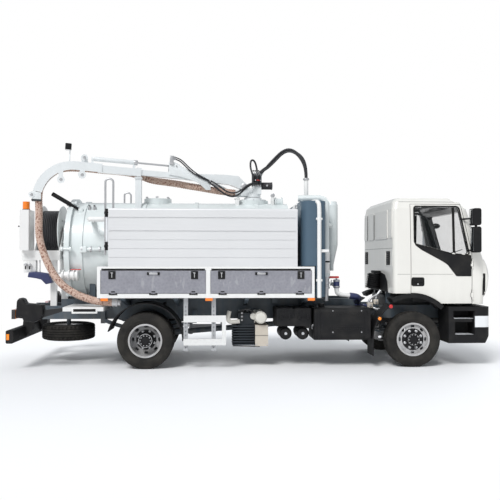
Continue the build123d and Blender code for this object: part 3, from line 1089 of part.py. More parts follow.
with BuildPart() as hose_coupling:
    way = (Vector(*TAIL_FALL[-1]) - Vector(*TAIL_FALL[-2])).normalized()
    end = Vector(*TAIL_FALL[-1])
    rod(tuple(end), tuple(end + way * 60), 62)
    rod(tuple(end + way * 60), tuple(end + way * 105), 52)
save(hose_coupling, "hose_coupling")

# Hydraulic hose arch
with BuildPart() as hydraulic_arch:
    tube(ARCH_ROUTE, ARCH_HOSE_RADIUS)
save(hydraulic_arch, "hydraulic_arch")

# Jetting reel on its frame at the tail, with the control console
REEL_PIN = 25
BEAM_Y = (420, 500)
BEAM_Z = (1670, 1830)
PLATE_HALF = REEL_WIDTH / 2 + 30
with BuildPart() as reel_frame:
    for side in (-1, 1):
        block((REAR_AXLE - 2040, REAR_AXLE - 1430), (side * BEAM_Y[0], side * BEAM_Y[1]), BEAM_Z)
        block((REAR_AXLE - 1600, REAR_AXLE - 1500), (side * 365, side * BEAM_Y[0]), (RAIL_TOP, BEAM_Z[1]))
    for end in (-1, 1):
        x = REEL_X + end * PLATE_HALF
        with BuildSketch(Plane.YZ.offset(x)):
            with BuildLine():
                Polyline((-430, BEAM_Z[0]), (430, BEAM_Z[0]), (430, BEAM_Z[1]), (90, REEL_Z + 80), (-90, REEL_Z + 80),
                         (-430, BEAM_Z[1]), close=True)
            make_face()
        extrude(amount=10, both=True)
        rod((x, 0, REEL_Z), (x - end * 110, 0, REEL_Z), REEL_PIN)
    block((REAR_AXLE - 2040, REAR_AXLE - 1900), (-620, -270), (BEAM_Z[1], CONSOLE_TOP))
save(reel_frame, "reel_frame")

FLANGE_THICK = 14
CORE_RADIUS = 150
with BuildPart() as reel_drum:
    for end in (-1, 1):
        outer = REEL_X + end * REEL_WIDTH / 2
        rod((outer, 0, REEL_Z), (outer - end * FLANGE_THICK, 0, REEL_Z), REEL_RADIUS)
    rod((REEL_X - REEL_WIDTH / 2, 0, REEL_Z), (REEL_X + REEL_WIDTH / 2, 0, REEL_Z), CORE_RADIUS)
    rod((REEL_X - 300, 0, REEL_Z), (REEL_X + 300, 0, REEL_Z), REEL_PIN + FIT, Mode.SUBTRACT)
save(reel_drum, "reel_drum")
with BuildPart() as reel_hose:
    half = REEL_WIDTH / 2 - FLANGE_THICK - 0.5
    rod((REEL_X - half, 0, REEL_Z), (REEL_X + half, 0, REEL_Z), REEL_HOSE_RADIUS)
    rod((REEL_X - half, 0, REEL_Z), (REEL_X + half, 0, REEL_Z), CORE_RADIUS + 0.4, Mode.SUBTRACT)
save(reel_hose, "reel_hose")
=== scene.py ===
import json
from math import cos, pi, radians, sin, tau

import bmesh
import bpy
from mathutils import Matrix, Vector
from mathutils.bvhtree import BVHTree


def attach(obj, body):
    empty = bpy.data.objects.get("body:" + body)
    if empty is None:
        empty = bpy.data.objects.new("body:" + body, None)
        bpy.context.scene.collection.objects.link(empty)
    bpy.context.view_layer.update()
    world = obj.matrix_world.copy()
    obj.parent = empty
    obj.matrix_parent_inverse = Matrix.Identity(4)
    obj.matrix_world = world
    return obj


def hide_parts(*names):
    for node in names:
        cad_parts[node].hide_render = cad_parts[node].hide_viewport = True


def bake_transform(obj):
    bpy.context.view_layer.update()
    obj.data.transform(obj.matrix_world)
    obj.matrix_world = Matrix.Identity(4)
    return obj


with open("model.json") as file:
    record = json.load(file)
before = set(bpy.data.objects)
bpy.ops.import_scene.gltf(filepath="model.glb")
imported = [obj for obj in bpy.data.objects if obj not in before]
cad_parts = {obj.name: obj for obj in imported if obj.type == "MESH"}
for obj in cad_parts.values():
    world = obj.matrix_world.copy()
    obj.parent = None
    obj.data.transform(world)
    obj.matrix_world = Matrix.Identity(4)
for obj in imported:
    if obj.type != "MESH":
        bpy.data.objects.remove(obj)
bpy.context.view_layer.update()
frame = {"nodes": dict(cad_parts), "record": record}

NODES = frame["nodes"]

# Main places and directions of the truck, metres
FRONT_AXLE, REAR_AXLE = 2.5, -1.685
AXLE_Z = 0.4335
SIDES = (("right", -1), ("left", 1))
MIRROR = Matrix.Diagonal((1, -1, 1, 1))
HERE, BOTH = (Matrix(),), (Matrix(), MIRROR)
FLIP = {"right": HERE, "left": (MIRROR,)}
FORE, AFT = Vector((1, 0, 0)), Vector((-1, 0, 0))
OUT_RIGHT, UP = Vector((0, -1, 0)), Vector((0, 0, 1))


class Value:
    """A shader socket that takes part in plain arithmetic."""

    def __init__(self, finish, socket):
        self.finish, self.socket = finish, socket

    def math(self, operation, other=None, swap=False):
        pair = (other, self) if swap else (self, other)
        return self.finish.node("ShaderNodeMath", {"operation": operation},
                                {place: value for place, value in enumerate(pair) if value is not None})

    def __add__(self, other):
        return self.math("ADD", other)

    def __rsub__(self, other):
        return self.math("SUBTRACT", other, swap=True)

    def __mul__(self, other):
        return self.math("MULTIPLY", other)

    __radd__ = __add__
    __rmul__ = __mul__

    def over(self, edge, soft):
        """0 below an edge and 1 above it, smooth in between."""
        return self.finish.node("ShaderNodeMapRange", {"interpolation_type": "SMOOTHSTEP"},
                                {"Value": self, "From Min": edge - soft, "From Max": edge + soft})


class Finish:
    """A procedural material on Object coordinates."""

    def __init__(self, name, fixed=None):
        self.material = bpy.data.materials.new(name)
        self.material.use_nodes = True
        self.tree = self.material.node_tree
        self.shader = self.tree.nodes["Principled BSDF"]
        self.place = self.node("ShaderNodeTexCoord", output="Object")
        self.set(fixed or {})

    def node(self, kind, settings=None, inputs=None, output=0):
        made = self.tree.nodes.new(kind)
        for key, value in (settings or {}).items():
            setattr(made, key, value)
        for key, value in (inputs or {}).items():
            self.feed(made.inputs[key], value)
        return Value(self, made.outputs[output])

    def feed(self, socket, value):
        if isinstance(value, Value):
            self.tree.links.new(value.socket, socket)
        elif socket.type == "RGBA":
            socket.default_value = (*value[:3], 1)
        else:
            socket.default_value = value

    def set(self, inputs):
        for key, value in inputs.items():
            self.feed(self.shader.inputs[key], value)
        return self

    def noise(self, scale, detail=3.0, stretch=None):
        place = self.place
        if stretch:
            place = self.node("ShaderNodeMapping", None, {"Vector": place, "Scale": stretch})
        return self.node("ShaderNodeTexNoise", None, {"Vector": place, "Scale": scale, "Detail": detail},
                         "Fac")

    def cells(self, scale, stretch=(1, 1, 1)):
        place = self.node("ShaderNodeMapping", None, {"Vector": self.place, "Scale": stretch})
        return self.node("ShaderNodeTexVoronoi", None, {"Vector": place, "Scale": scale}, "Distance")

    def waves(self, direction, scale):
        return self.node("ShaderNodeTexWave", {"bands_direction": direction},
                         {"Vector": self.place, "Scale": scale}, "Fac")

    def mix(self, factor, first, second):
        return self.node("ShaderNodeMix", {"data_type": "RGBA"}, {0: factor, 6: first, 7: second}, 2)

    def axis(self, name):
        return self.node("ShaderNodeSeparateXYZ", None, {"Vector": self.place}, name)

    def bump(self, height, strength, distance):
        inputs = {"Height": height, "Strength": strength, "Distance": distance}
        return self.set({"Normal": self.node("ShaderNodeBump", None, inputs)})


def shade(colour, factor):
    return tuple(channel * factor for channel in colour)


ROAD_DUST = (0.23, 0.2, 0.16)


def paint(name, colour, gloss=0.3, coat=0.5, film=0.35, drift=0.05):
    """Sprayed paint: slight drift of tone, orange peel and a road film that thins out upwards."""
    made = Finish(name, {"Coat Weight": coat, "Coat Roughness": 0.12})
    tone, fine = made.noise(1.7, 2.0), made.noise(38.0, 5.0)
    streak = made.noise(9.0, 4.0, (1, 1, 0.12))
    low = 1 - made.axis("Z").over(0.85, 0.6)
    grime = (low * 0.75 + 0.12) * streak.over(0.5, 0.28) * film
    base = made.mix(tone, shade(colour, 1 - drift), shade(colour, 1 + drift * 0.6))
    made.set({"Base Color": made.mix(grime, base, ROAD_DUST), "Roughness": gloss + fine * 0.12 + grime * 0.5})
    return made.bump(made.noise(210.0, 2.0), 0.05, 0.002)


def moulded(name, colour, gloss=0.55, grain=320.0):
    """Grained black plastic with dust in its pores."""
    made = Finish(name, {"Specular IOR Level": 0.28})
    grains, dust = made.cells(grain), made.noise(5.0, 6.0)
    made.set({"Base Color": made.mix(dust.over(0.6, 0.2) * 0.12, colour, (0.12, 0.11, 0.095)),
              "Roughness": gloss + dust * 0.2})
    return made.bump(grains, 0.22, 0.002)


def bare(name, colour, rough=0.32, drift=0.18, metal=0.85):
    """Bare or plated metal with rubbing marks."""
    made = Finish(name)
    marks, cloud = made.noise(60.0, 5.0, (1, 1, 1)), made.noise(3.0, 3.0)
    made.set({"Base Color": made.mix(marks * 0.5 + cloud * 0.5, shade(colour, 1 - drift),
                                     shade(colour, 1 + drift)),
              "Roughness": rough + marks * 0.18, "Metallic": metal})
    return made.bump(marks, 0.06, 0.001)


def lens(name, colour, glow=0.0):
    """Moulded lamp lens with fine ribs and a glow; on reflectors and the level gauge's tube the glow is
    painted light.
    """
    made = Finish(name, {"Roughness": 0.12, "Coat Weight": 0.6, "Emission Color": colour,
                         "Emission Strength": glow})
    ribs = made.waves("Z", 28.0)
    made.set({"Base Color": made.mix(ribs, shade(colour, 0.75), colour)})
    return made.bump(ribs, 0.35, 0.002)


CAB_PAINT = paint("cab_paint", (0.8, 0.785, 0.74), 0.26, 0.7, 0.3)
BODY_WHITE = paint("body_white", (0.82, 0.82, 0.81), 0.32, 0.4)
TANK_PAINT = paint("tank_paint", (0.72, 0.77, 0.77), 0.34, 0.4, 0.45, 0.08)
BOOM_WHITE = paint("boom_white", (0.78, 0.81, 0.82), 0.3, 0.5)
FRAME_GREY = paint("frame_grey", (0.055, 0.082, 0.108), 0.42, 0.2, 0.5, 0.2)
CAST = paint("cast", (0.018, 0.025, 0.033), 0.5, 0.1, 0.5, 0.3)
CREAM = paint("cream_housing", (0.62, 0.56, 0.48), 0.45, 0.1, 0.35, 0.12)
PALE_CAST = paint("pale_casting", (0.7, 0.68, 0.62), 0.45, 0.1, 0.3, 0.15)
RED_ENAMEL = paint("red_enamel", (0.62, 0.03, 0.025), 0.3, 0.5)
BLUE_COVER = paint("blue_cover", (0.02, 0.03, 0.11), 0.4, 0.2)
RIM = paint("rim", (0.5, 0.5, 0.51), 0.34, 0.3, 0.5, 0.12)
BLACK = moulded("black_plastic", (0.0065, 0.0065, 0.0075))
BLACK_SMOOTH = moulded("black_smooth", (0.006, 0.006, 0.007), 0.3, 700.0)
RUBBER_SEAL = moulded("rubber_seal", (0.006, 0.006, 0.006), 0.7)
SEAM = moulded("seam_shade", (0.1, 0.1, 0.095), 0.6)
STEEL = bare("steel", (0.56, 0.56, 0.57))
CHROME = bare("mirror_glass", (0.78, 0.8, 0.82), 0.03, 0.03, 1.0)
GALVANISED = bare("galvanised", (0.62, 0.63, 0.65), 0.45, metal=0.5)
# Lens glow: lamp light on the lamps, painted light on the reflectors and the level gauge's tube
AMBER = lens("amber_lens", (0.9, 0.25, 0.01), 0.25)
RED_LENS = lens("red_lens", (0.55, 0.01, 0.012), 0.12)
CLEAR_LENS = lens("clear_lens", (0.82, 0.84, 0.86), 0.05)
CROSS_TANK_REAR = 0.7


def board_metal():
    """Side boards: pale drawn aluminium with long faint draw lines; the cross tank is dark blue-grey, its
    paint darkened with painted shade from the side panel.
    """
    made = Finish("aluminium", {"Coat Weight": 0.15})
    lines, cloud = made.noise(120.0, 3.0, (0.01, 1, 1)), made.noise(1.2, 3.0)
    sheet = made.mix(lines * 0.5 + cloud * 0.5, (0.66, 0.665, 0.675), (0.8, 0.8, 0.805))
    # Ahead of CROSS_TANK_REAR the colour turns dark blue-grey: the cross tank's paint with painted shade from
    # the side panel
    front = made.axis("X").over(CROSS_TANK_REAR, 0.002)
    made.set({"Base Color": made.mix(front, sheet, (0.075, 0.125, 0.175)), "Roughness": 0.36 + lines * 0.16,
              "Metallic": 0.25})
    return made.bump(lines, 0.05, 0.001)


def flap_sheet():
    """Flap sheet: dull grey plated steel with spangle, scratches and pale scuffs."""
    made = Finish("flap_metal", {"Metallic": 0.35})
    spangle, cloud = made.cells(26.0, (1, 0.05, 1)), made.noise(5.0, 6.0)
    scuff = made.noise(14.0, 6.0, (1, 1, 0.25)).over(0.66, 0.03)
    tone = made.mix(spangle * 0.4 + cloud * 0.6, (0.21, 0.21, 0.24), (0.37, 0.37, 0.41))
    made.set({"Base Color": made.mix(scuff * 0.22, tone, (0.62, 0.62, 0.63)),
              "Roughness": 0.42 + cloud * 0.2})
    return made.bump(cloud, 0.12, 0.003)


def road_rubber():
    """Tyre rubber: dark, with brown road dust."""
    made = Finish("tyre", {"Specular IOR Level": 0.3})
    dust, fine = made.noise(6.0, 5.0), made.noise(90.0, 4.0)
    made.set({"Base Color": made.mix(dust.over(0.5, 0.3) * 0.6, (0.011, 0.0105, 0.01), (0.05, 0.045, 0.038)),
              "Roughness": 0.72 + fine * 0.2})
    return made.bump(fine, 0.2, 0.002)


def tinted_glass():
    """Dark glass, nearly clear, with faint smears."""
    made = Finish("glass", {"Base Color": (0.03, 0.036, 0.038), "Roughness": 0.02, "IOR": 1.45})
    return made.set({"Alpha": made.noise(4.0, 4.0) * 0.06 + 0.07})


def seat_cloth():
    """Dark woven seat cloth with a fine two-way weave."""
    made = Finish("seat_fabric", {"Roughness": 0.9, "Sheen Weight": 0.3})
    weave = made.waves("Y", 180.0) * made.waves("Z", 180.0)
    made.set({"Base Color": made.mix(weave, (0.018, 0.019, 0.022), (0.06, 0.062, 0.07))})
    return made.bump(weave, 0.4, 0.002)


def suction_rubber():
    """Suction hose cover: pinkish beige, mottled with worn brown-red and pale flecks."""
    made = Finish("hose_suction", {"Specular IOR Level": 0.35})
    flecks = made.noise(34.0, 5.0)
    base = made.mix(made.noise(15.0, 4.0), (0.42, 0.27, 0.21), (0.62, 0.47, 0.39))
    worn = made.mix(flecks.over(0.57, 0.04) * 0.85, base, (0.19, 0.075, 0.05))
    pale_flecks = made.noise(52.0, 2.0).over(0.66, 0.04)
    made.set({"Base Color": made.mix(pale_flecks * 0.7, worn, (0.75, 0.66, 0.58)),
              "Roughness": 0.62 + flecks * 0.2})
    return made.bump(flecks, 0.25, 0.003)


def black_rubber(name, colour=(0.014, 0.014, 0.016)):
    made = Finish(name)
    fine = made.noise(70.0, 4.0)
    made.set({"Base Color": made.mix(fine, colour, shade(colour, 2.6)), "Roughness": 0.42 + fine * 0.3})
    return made.bump(fine, 0.15, 0.001)


def between(value, low, high, soft=0.0008):
    return value.over(low, soft) * (1 - value.over(high, soft))


def patched(name, base, patches):
    """Finish of one node: a base with other finishes where their masks are 1."""
    made = Finish(name)
    places = {axis: made.axis(axis) for axis in "XYZ"}
    colour, rough, metal = base
    fine = made.noise(30.0, 5.0)
    for mask, (tint, gloss, shine) in patches:
        where = mask(places)
        colour = made.mix(where, colour, tint)
        rough = where * (gloss - base[1]) + rough
        metal = where * (shine - base[2]) + metal
    made.set({"Base Color": made.mix(fine * 0.2, colour, (0.05, 0.05, 0.05)),
              "Roughness": rough + fine * 0.15, "Metallic": metal})
    return made.bump(fine, 0.06, 0.001)


def lined(made, centre):
    """Give the faces that look inwards, to a room's centre, a dark lining."""
    facing = made.node("ShaderNodeTexCoord", output="Normal")
    away = made.node("ShaderNodeVectorMath", {"operation": "SUBTRACT"}, {0: made.place, 1: centre})
    turn = made.node("ShaderNodeVectorMath", {"operation": "DOT_PRODUCT"}, {0: facing, 1: away}, "Value")
    skin = Value(made, made.shader.inputs["Base Color"].links[0].from_socket)
    made.set({"Base Color": made.mix(turn.over(0.0, 0.02), (0.022, 0.022, 0.024), skin)})


def lamp_lenses():
    """All outer lamps: clear in front, amber at the sides, red with clear and amber fields behind."""
    made = Finish("lamp", {"Roughness": 0.12, "Coat Weight": 0.6, "Emission Strength": 0.12})
    ribs = made.waves("Z", 28.0)
    along, height, across = made.axis("X"), made.axis("Z"), made.axis("Y").math("ABSOLUTE")
    behind = (1 - along.over(-3.6, 0.002)) * (1 - height.over(1.1, 0.01))
    tail = made.mix(between(across, 0.83, 0.91), (0.55, 0.01, 0.012), (0.8, 0.81, 0.83))
    tail = made.mix(between(across, 1.07, 1.2), tail, (0.9, 0.25, 0.01))
    colour = made.mix(along.over(3.3, 0.002), (0.9, 0.22, 0.01), (0.8, 0.82, 0.84))
    tail = made.mix(across.over(1.174, 0.002), tail, (0.01, 0.01, 0.01))
    colour = made.mix(behind, colour, tail)
    made.set({"Base Color": made.mix(ribs * 0.25, colour, (0.05, 0.03, 0.02)), "Emission Color": colour})
    return made.bump(ribs, 0.35, 0.002)


CAB_CENTRE = (2.85, 0.0, 1.85)
lined(CAB_PAINT, CAB_CENTRE)
TYRE, CLOTH, SUCTION = road_rubber(), seat_cloth(), suction_rubber()
HOSE_BLACK, HOSE_JET = black_rubber("hose_black"), black_rubber("hose_jet", (0.02, 0.02, 0.022))
SLOT_FINISH = {
    "cab_paint": CAB_PAINT, "body_white": BODY_WHITE, "frame_grey": FRAME_GREY, "tank_paint": TANK_PAINT,
    "aluminium": board_metal(), "flap_metal": flap_sheet(), "black_plastic": BLACK, "tyre": TYRE, "rim": RIM,
    "glass": tinted_glass(), "cast": CAST, "steel": STEEL, "seat_fabric": CLOTH, "lamp": lamp_lenses(),
    "hose_suction": SUCTION, "hose_black": HOSE_BLACK, "hose_jet": HOSE_JET, "boom_white": BOOM_WHITE}
for subpart in frame["record"]["subparts"]:
    node = NODES[subpart["node"]]
    node.data.materials.clear()
    node.data.materials.append(SLOT_FINISH[subpart["material_slot"]].material)

# Nodes with more than one finish: base and patches are colour, roughness and metal
WHITE_LOOK, BLACK_LOOK = ((0.82, 0.82, 0.81), 0.35, 0.0), ((0.008, 0.008, 0.009), 0.4, 0.0)
ZINC_LOOK, IRON_LOOK = ((0.42, 0.43, 0.45), 0.45, 0.5), ((0.018, 0.025, 0.033), 0.5, 0.1)
CREAM_LOOK, PALE_LOOK = ((0.6, 0.54, 0.46), 0.5, 0.0), ((0.7, 0.68, 0.62), 0.45, 0.0)
NODE_FINISH = {
    "hose_trays": patched("tray_and_arms", WHITE_LOOK, [
        (lambda at: 1 - at["X"].over(-2.9135, 0.0008), BLACK_LOOK)]),
    "side_guards": patched("guard_boards", WHITE_LOOK, [
        (lambda at: (1.1722 - at["Y"].math("ABSOLUTE")).over(0.0, 0.0004), ZINC_LOOK)]),
    "jet_pump": patched("pump_casting", IRON_LOOK, [
        (lambda at: at["X"].over(0.0155, 0.0008) * (1 - at["Z"].over(0.662, 0.001)), CREAM_LOOK),
        (lambda at: at["X"].over(0.004, 0.0008) * at["Z"].over(0.685, 0.001), PALE_LOOK)])}
for name, finish in NODE_FINISH.items():
    NODES[name].data.materials[0] = finish.material


# Shapes
def soften(mesh, edges, width, segments=2):
    bmesh.ops.bevel(mesh, geom=edges, offset=width, offset_type="OFFSET", affect="EDGES", segments=segments,
                    profile=0.5, material=-1, clamp_overlap=True)
    return mesh


def block(low, high, bevel=0.0, segments=2):
    """Box between two corners."""
    mesh = bmesh.new()
    low, high = Vector(low), Vector(high)
    place = Matrix.Translation((low + high) / 2) @ Matrix.Diagonal((*(high - low), 1))
    bmesh.ops.create_cube(mesh, size=1.0, matrix=place)
    bmesh.ops.recalc_face_normals(mesh, faces=mesh.faces[:])
    return soften(mesh, mesh.edges[:], bevel, segments) if bevel else mesh


def bar(start, end, radius, sides=20, bevel=0.0):
    """Round bar between two points."""
    mesh = bmesh.new()
    start, end = Vector(start), Vector(end)
    run = end - start
    turn = run.to_track_quat("Z", "Y").to_matrix().to_4x4()
    bmesh.ops.create_cone(mesh, cap_ends=True, segments=sides, radius1=radius, radius2=radius,
                          depth=run.length, matrix=Matrix.Translation((start + end) / 2) @ turn)
    if bevel:
        rims = [edge for edge in mesh.edges if any(len(face.verts) > 4 for face in edge.link_faces)]
        soften(mesh, rims, bevel)
    return mesh


def long_bar(start, end, across, level, radius, sides=20, bevel=0.0):
    """Round bar along the truck."""
    return bar((start, across, level), (end, across, level), radius, sides, bevel)


def cross_bar(along, start, end, level, radius, sides=20, bevel=0.0):
    """Round bar across the truck."""
    return bar((along, start, level), (along, end, level), radius, sides, bevel)


def post(along, across, start, end, radius, sides=20, bevel=0.0):
    """Upright round bar."""
    return bar((along, across, start), (along, across, end), radius, sides, bevel)


def plate(spot, half, face, out, inner, low, high, bevel, segments=2):
    """Upright box about a place along the truck, between two depths outside its right face."""
    return block((spot - half, face - out, low), (spot + half, face - inner, high), bevel, segments)


def hexagon(centre, axis, radius, height):
    centre, axis = Vector(centre), Vector(axis)
    return bar(centre, centre + axis * height, radius, 6, min(radius, height) * 0.18)


def ball(centre, radius, steps=16):
    mesh = bmesh.new()
    bmesh.ops.create_uvsphere(mesh, u_segments=steps, v_segments=steps // 2, radius=radius,
                              matrix=Matrix.Translation(centre))
    return mesh


def turned(profile, centre, axis, steps=48):
    """Profile of (along the axis, radius) pairs turned round the axis."""
    mesh = bmesh.new()
    centre, axis = Vector(centre), Vector(axis).normalized()
    side = axis.orthogonal().normalized()
    dots = [mesh.verts.new(centre + axis * along + side * radius) for along, radius in profile]
    lines = [mesh.edges.new(pair) for pair in zip(dots, dots[1:])]
    bmesh.ops.spin(mesh, geom=dots + lines, cent=centre, axis=axis, angle=tau, steps=steps, use_merge=True)
    bmesh.ops.remove_doubles(mesh, verts=mesh.verts[:], dist=1e-5)
    bmesh.ops.recalc_face_normals(mesh, faces=mesh.faces[:])
    return mesh


def axes(name):
    """Index of the named axis, and of the two others."""
    along = "xyz".index(name)
    return along, [place for place in range(3) if place != along]


def way(place, size):
    """Vector along one axis."""
    made = Vector((0, 0, 0))
    made[place] = size
    return made


def outlined(outline, axis, level):
    """One flat face with an outline in the two other axes, at a place on the named axis."""
    across = axes(axis)[1]
    mesh = bmesh.new()
    dots = []
    for pair in outline:
        spot = [level] * 3
        spot[across[0]], spot[across[1]] = pair
        dots.append(mesh.verts.new(spot))
    mesh.faces.new(dots)
    return mesh


def thicken(mesh, shift):
    """Turn a sheet into a solid by moving a copy of it."""
    made = bmesh.ops.extrude_face_region(mesh, geom=mesh.faces[:])
    moved = [item for item in made["geom"] if isinstance(item, bmesh.types.BMVert)]
    bmesh.ops.translate(mesh, verts=moved, vec=shift)
    bmesh.ops.recalc_face_normals(mesh, faces=mesh.faces[:])
    return mesh


def prism(outline, axis, low, high, bevel=0.0, segments=2):
    """Flat outline in the two other axes, extruded between two places on the named axis."""
    mesh = thicken(outlined(outline, axis, low), way(axes(axis)[0], high - low))
    return soften(mesh, mesh.edges[:], bevel, segments) if bevel else mesh


def oblong(left, low, right, high):
    """Outline of an upright rectangle."""
    return [(left, low), (right, low), (right, high), (left, high)]


def circle(count, radius, first=0.0):
    """Pairs at equal steps round a circle, from an angle in degrees."""
    turns = [radians(first + 360 / count * step) for step in range(count)]
    return [(radius * cos(turn), radius * sin(turn)) for turn in turns]


def surface_of(*names):
    """Search tree over the CAD surface of some nodes."""
    corners, faces = [], []
    for name in names:
        data = NODES[name].data
        first = len(corners)
        corners += [corner.co.copy() for corner in data.vertices]
        faces += [[first + index for index in face.vertices] for face in data.polygons]
    return BVHTree.FromPolygons(corners, faces)


OUTSIDE = 5.0
SINK = 0.001
STEP_LIMIT = 0.3


def touch(tree, axis, side, first, second):
    """Point of a surface met first when coming from outside along an axis."""
    along, across = axes(axis)
    start = way(along, side * OUTSIDE)
    start[across[0]], start[across[1]] = first, second
    return tree.ray_cast(start, way(along, -side))[0]


def draped(outline, tree, axis, side, thick, pitch=0.05, ring=0.0, rounding=0.0):
    """Sheet cut to an outline, laid on a CAD surface from outside along one axis, with a thickness.
    With a ring width only a border of the outline is kept."""
    along, across = axes(axis)
    mesh = outlined(outline, axis, side * OUTSIDE)
    if rounding:
        bmesh.ops.bevel(mesh, geom=mesh.verts[:], offset=rounding, offset_type="OFFSET", affect="VERTICES",
                        segments=4, profile=0.5, material=-1)
    mesh.faces.ensure_lookup_table()
    if ring:
        inner = mesh.faces[0]
        bmesh.ops.inset_region(mesh, faces=[inner], thickness=ring, use_boundary=True, use_even_offset=True)
        bmesh.ops.delete(mesh, geom=[inner], context="FACES")
    for place in across:
        low = min(dot.co[place] for dot in mesh.verts)
        high = max(dot.co[place] for dot in mesh.verts)
        cuts = max(int((high - low) / pitch), 1)
        for cut in range(1, cuts):
            bmesh.ops.bisect_plane(mesh, geom=mesh.verts[:] + mesh.edges[:] + mesh.faces[:], dist=1e-5,
                                   plane_co=way(place, low + (high - low) * cut / cuts),
                                   plane_no=way(place, 1))
    aim = way(along, -side)
    hits = [tree.ray_cast(dot.co, aim)[0] for dot in mesh.verts]
    depths = sorted(hit[along] for hit in hits if hit)
    usual = depths[len(depths) // 2]
    for dot, hit in zip(mesh.verts, hits):
        if hit is None or abs(hit[along] - usual) > STEP_LIMIT:
            dot.co[along] = usual
            hit = tree.find_nearest(dot.co)[0]
        dot.co[along] = hit[along] - side * SINK
    return thicken(mesh, aim * -(thick + SINK))


def line_curve(kind, points):
    """Curve with one spline on some points."""
    curve = bpy.data.curves.new("line", "CURVE")
    curve.dimensions = "3D"
    spline = curve.splines.new(kind)
    spline.points.add(len(points) - 1)
    for dot, point in zip(spline.points, points):
        dot.co = (*point, 1)
    return curve, spline


def mesh_of(curve):
    """Mesh of a curve, which is then removed."""
    holder = bpy.data.objects.new("line", curve)
    data = bpy.data.meshes.new_from_object(holder)
    mesh = bmesh.new()
    mesh.from_mesh(data)
    bpy.data.objects.remove(holder)
    bpy.data.curves.remove(curve)
    bpy.data.meshes.remove(data)
    return mesh


def route_line(points, resolution):
    """Smooth line along a hose's route, as points in order."""
    curve, spline = line_curve("NURBS", points)
    curve.resolution_u = resolution
    spline.order_u = 3
    spline.use_endpoint_u = True
    mesh = mesh_of(curve)
    line = [dot.co.copy() for dot in mesh.verts]
    mesh.free()
    return line


def length_of(line):
    return sum((after - before).length for before, after in zip(line, line[1:]))


def hose_shape(line, radius, sides, pitch=0.0, depth=0.0):
    """Tube along a line; with a pitch its wall carries a spiral rib."""
    curve = line_curve("POLY", line)[0]
    curve.bevel_depth = radius
    curve.bevel_resolution = (sides - 4) // 2
    curve.use_fill_caps = False
    mesh = mesh_of(curve)
    mesh.verts.ensure_lookup_table()
    around = len(mesh.verts) // len(line)
    if pitch:
        run = 0.0
        for ring, centre in enumerate(line):
            run += (centre - line[ring - 1]).length if ring else 0.0
            for step in range(around):
                dot = mesh.verts[ring * around + step]
                phase = tau * (run / pitch + step / around)
                dot.co = centre + (dot.co - centre) * (1 - depth / radius * (0.5 - 0.5 * cos(phase)))
    bmesh.ops.holes_fill(mesh, edges=[edge for edge in mesh.edges if edge.is_boundary], sides=0)
    bmesh.ops.recalc_face_normals(mesh, faces=mesh.faces[:])
    return mesh


def pipe(points, radius, sides=16):
    """Smooth bent pipe along some points."""
    return hose_shape(route_line(points, 12), radius, sides)


class Piece:
    """A named piece: shapes with their finishes, joined into one mesh that rides on a body."""

    def __init__(self, name, body, slot):
        self.name, self.body, self.slot = name, body, slot
        self.mesh, self.finishes = bmesh.new(), []

    def add(self, shape, finish, spots=HERE):
        if finish not in self.finishes:
            self.finishes.append(finish)
        for face in shape.faces:
            face.material_index = self.finishes.index(finish)
            face.smooth = True
        kept = bpy.data.meshes.new("shape")
        shape.to_mesh(kept)
        shape.free()
        for spot in spots:
            copy = kept.copy()
            copy.transform(spot)
            if spot.determinant() < 0:
                copy.flip_normals()
            self.mesh.from_mesh(copy)
            bpy.data.meshes.remove(copy)
        bpy.data.meshes.remove(kept)

    def rows(self, shape, finish, *rows, spots=HERE):
        """Add one shape for each row of its arguments, all in one finish."""
        for row in rows:
            self.add(shape(*row), finish, spots)

    def done(self, *replaced, sharp=34):
        data = bpy.data.meshes.new(self.name)
        self.mesh.to_mesh(data)
        self.mesh.free()
        data.set_sharp_from_angle(angle=radians(sharp))
        for finish in self.finishes:
            data.materials.append(finish.material)
        piece = bpy.data.objects.new(self.name, data)
        bpy.context.scene.collection.objects.link(piece)
        if self.body:
            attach(piece, self.body)
        if replaced:
            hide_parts(*replaced)
        return piece


# Camera at the photograph's place
CAMERA_SPOT = Vector((-0.632, -11.461, 1.7))
CAMERA_YAW, CAMERA_PITCH, CAMERA_ROLL = 0.054, 0.013, 0.001
eye = bpy.data.objects.new("camera", bpy.data.cameras.new("camera"))
eye.data.sensor_width, eye.data.lens = 36.0, 48.14
eye.location = CAMERA_SPOT
aim = Vector((sin(CAMERA_YAW) * cos(CAMERA_PITCH), cos(CAMERA_YAW) * cos(CAMERA_PITCH), sin(CAMERA_PITCH)))
looking = aim.to_track_quat("-Z", "Y").to_matrix() @ Matrix.Rotation(CAMERA_ROLL, 3, "Z")
eye.rotation_euler = looking.to_euler()
bpy.context.scene.collection.objects.link(eye)
bpy.context.scene.camera = eye
bpy.context.scene.view_settings.view_transform = "Standard"

# Soft studio light: a broad key from the camera's side, a rim from behind and an even sky
LIGHTS = (("key", 2.3, 22, (0.42, 0.72, -0.85)), ("rim", 0.7, 40, (-0.5, -0.8, -0.6)))
for name, strength, softness, heading in LIGHTS:
    lamp = bpy.data.objects.new(name, bpy.data.lights.new(name, "SUN"))
    lamp.data.energy, lamp.data.angle = strength, radians(softness)
    lamp.rotation_euler = Vector(heading).to_track_quat("-Z", "Y").to_euler()
    bpy.context.scene.collection.objects.link(lamp)
world = bpy.data.worlds.new("studio")
bpy.context.scene.world = world
world.use_nodes = True
sky = world.node_tree
rays = sky.nodes.new("ShaderNodeLightPath")
ambient, backdrop = sky.nodes["Background"], sky.nodes.new("ShaderNodeBackground")
for shine, colour, strength in ((ambient, (0.9, 0.95, 1.0, 1), 0.52), (backdrop, (1, 1, 1, 1), 1.0)):
    shine.inputs["Color"].default_value, shine.inputs["Strength"].default_value = colour, strength
seen, chosen = sky.nodes.new("ShaderNodeMath"), sky.nodes.new("ShaderNodeMixShader")
seen.operation = "MAXIMUM"
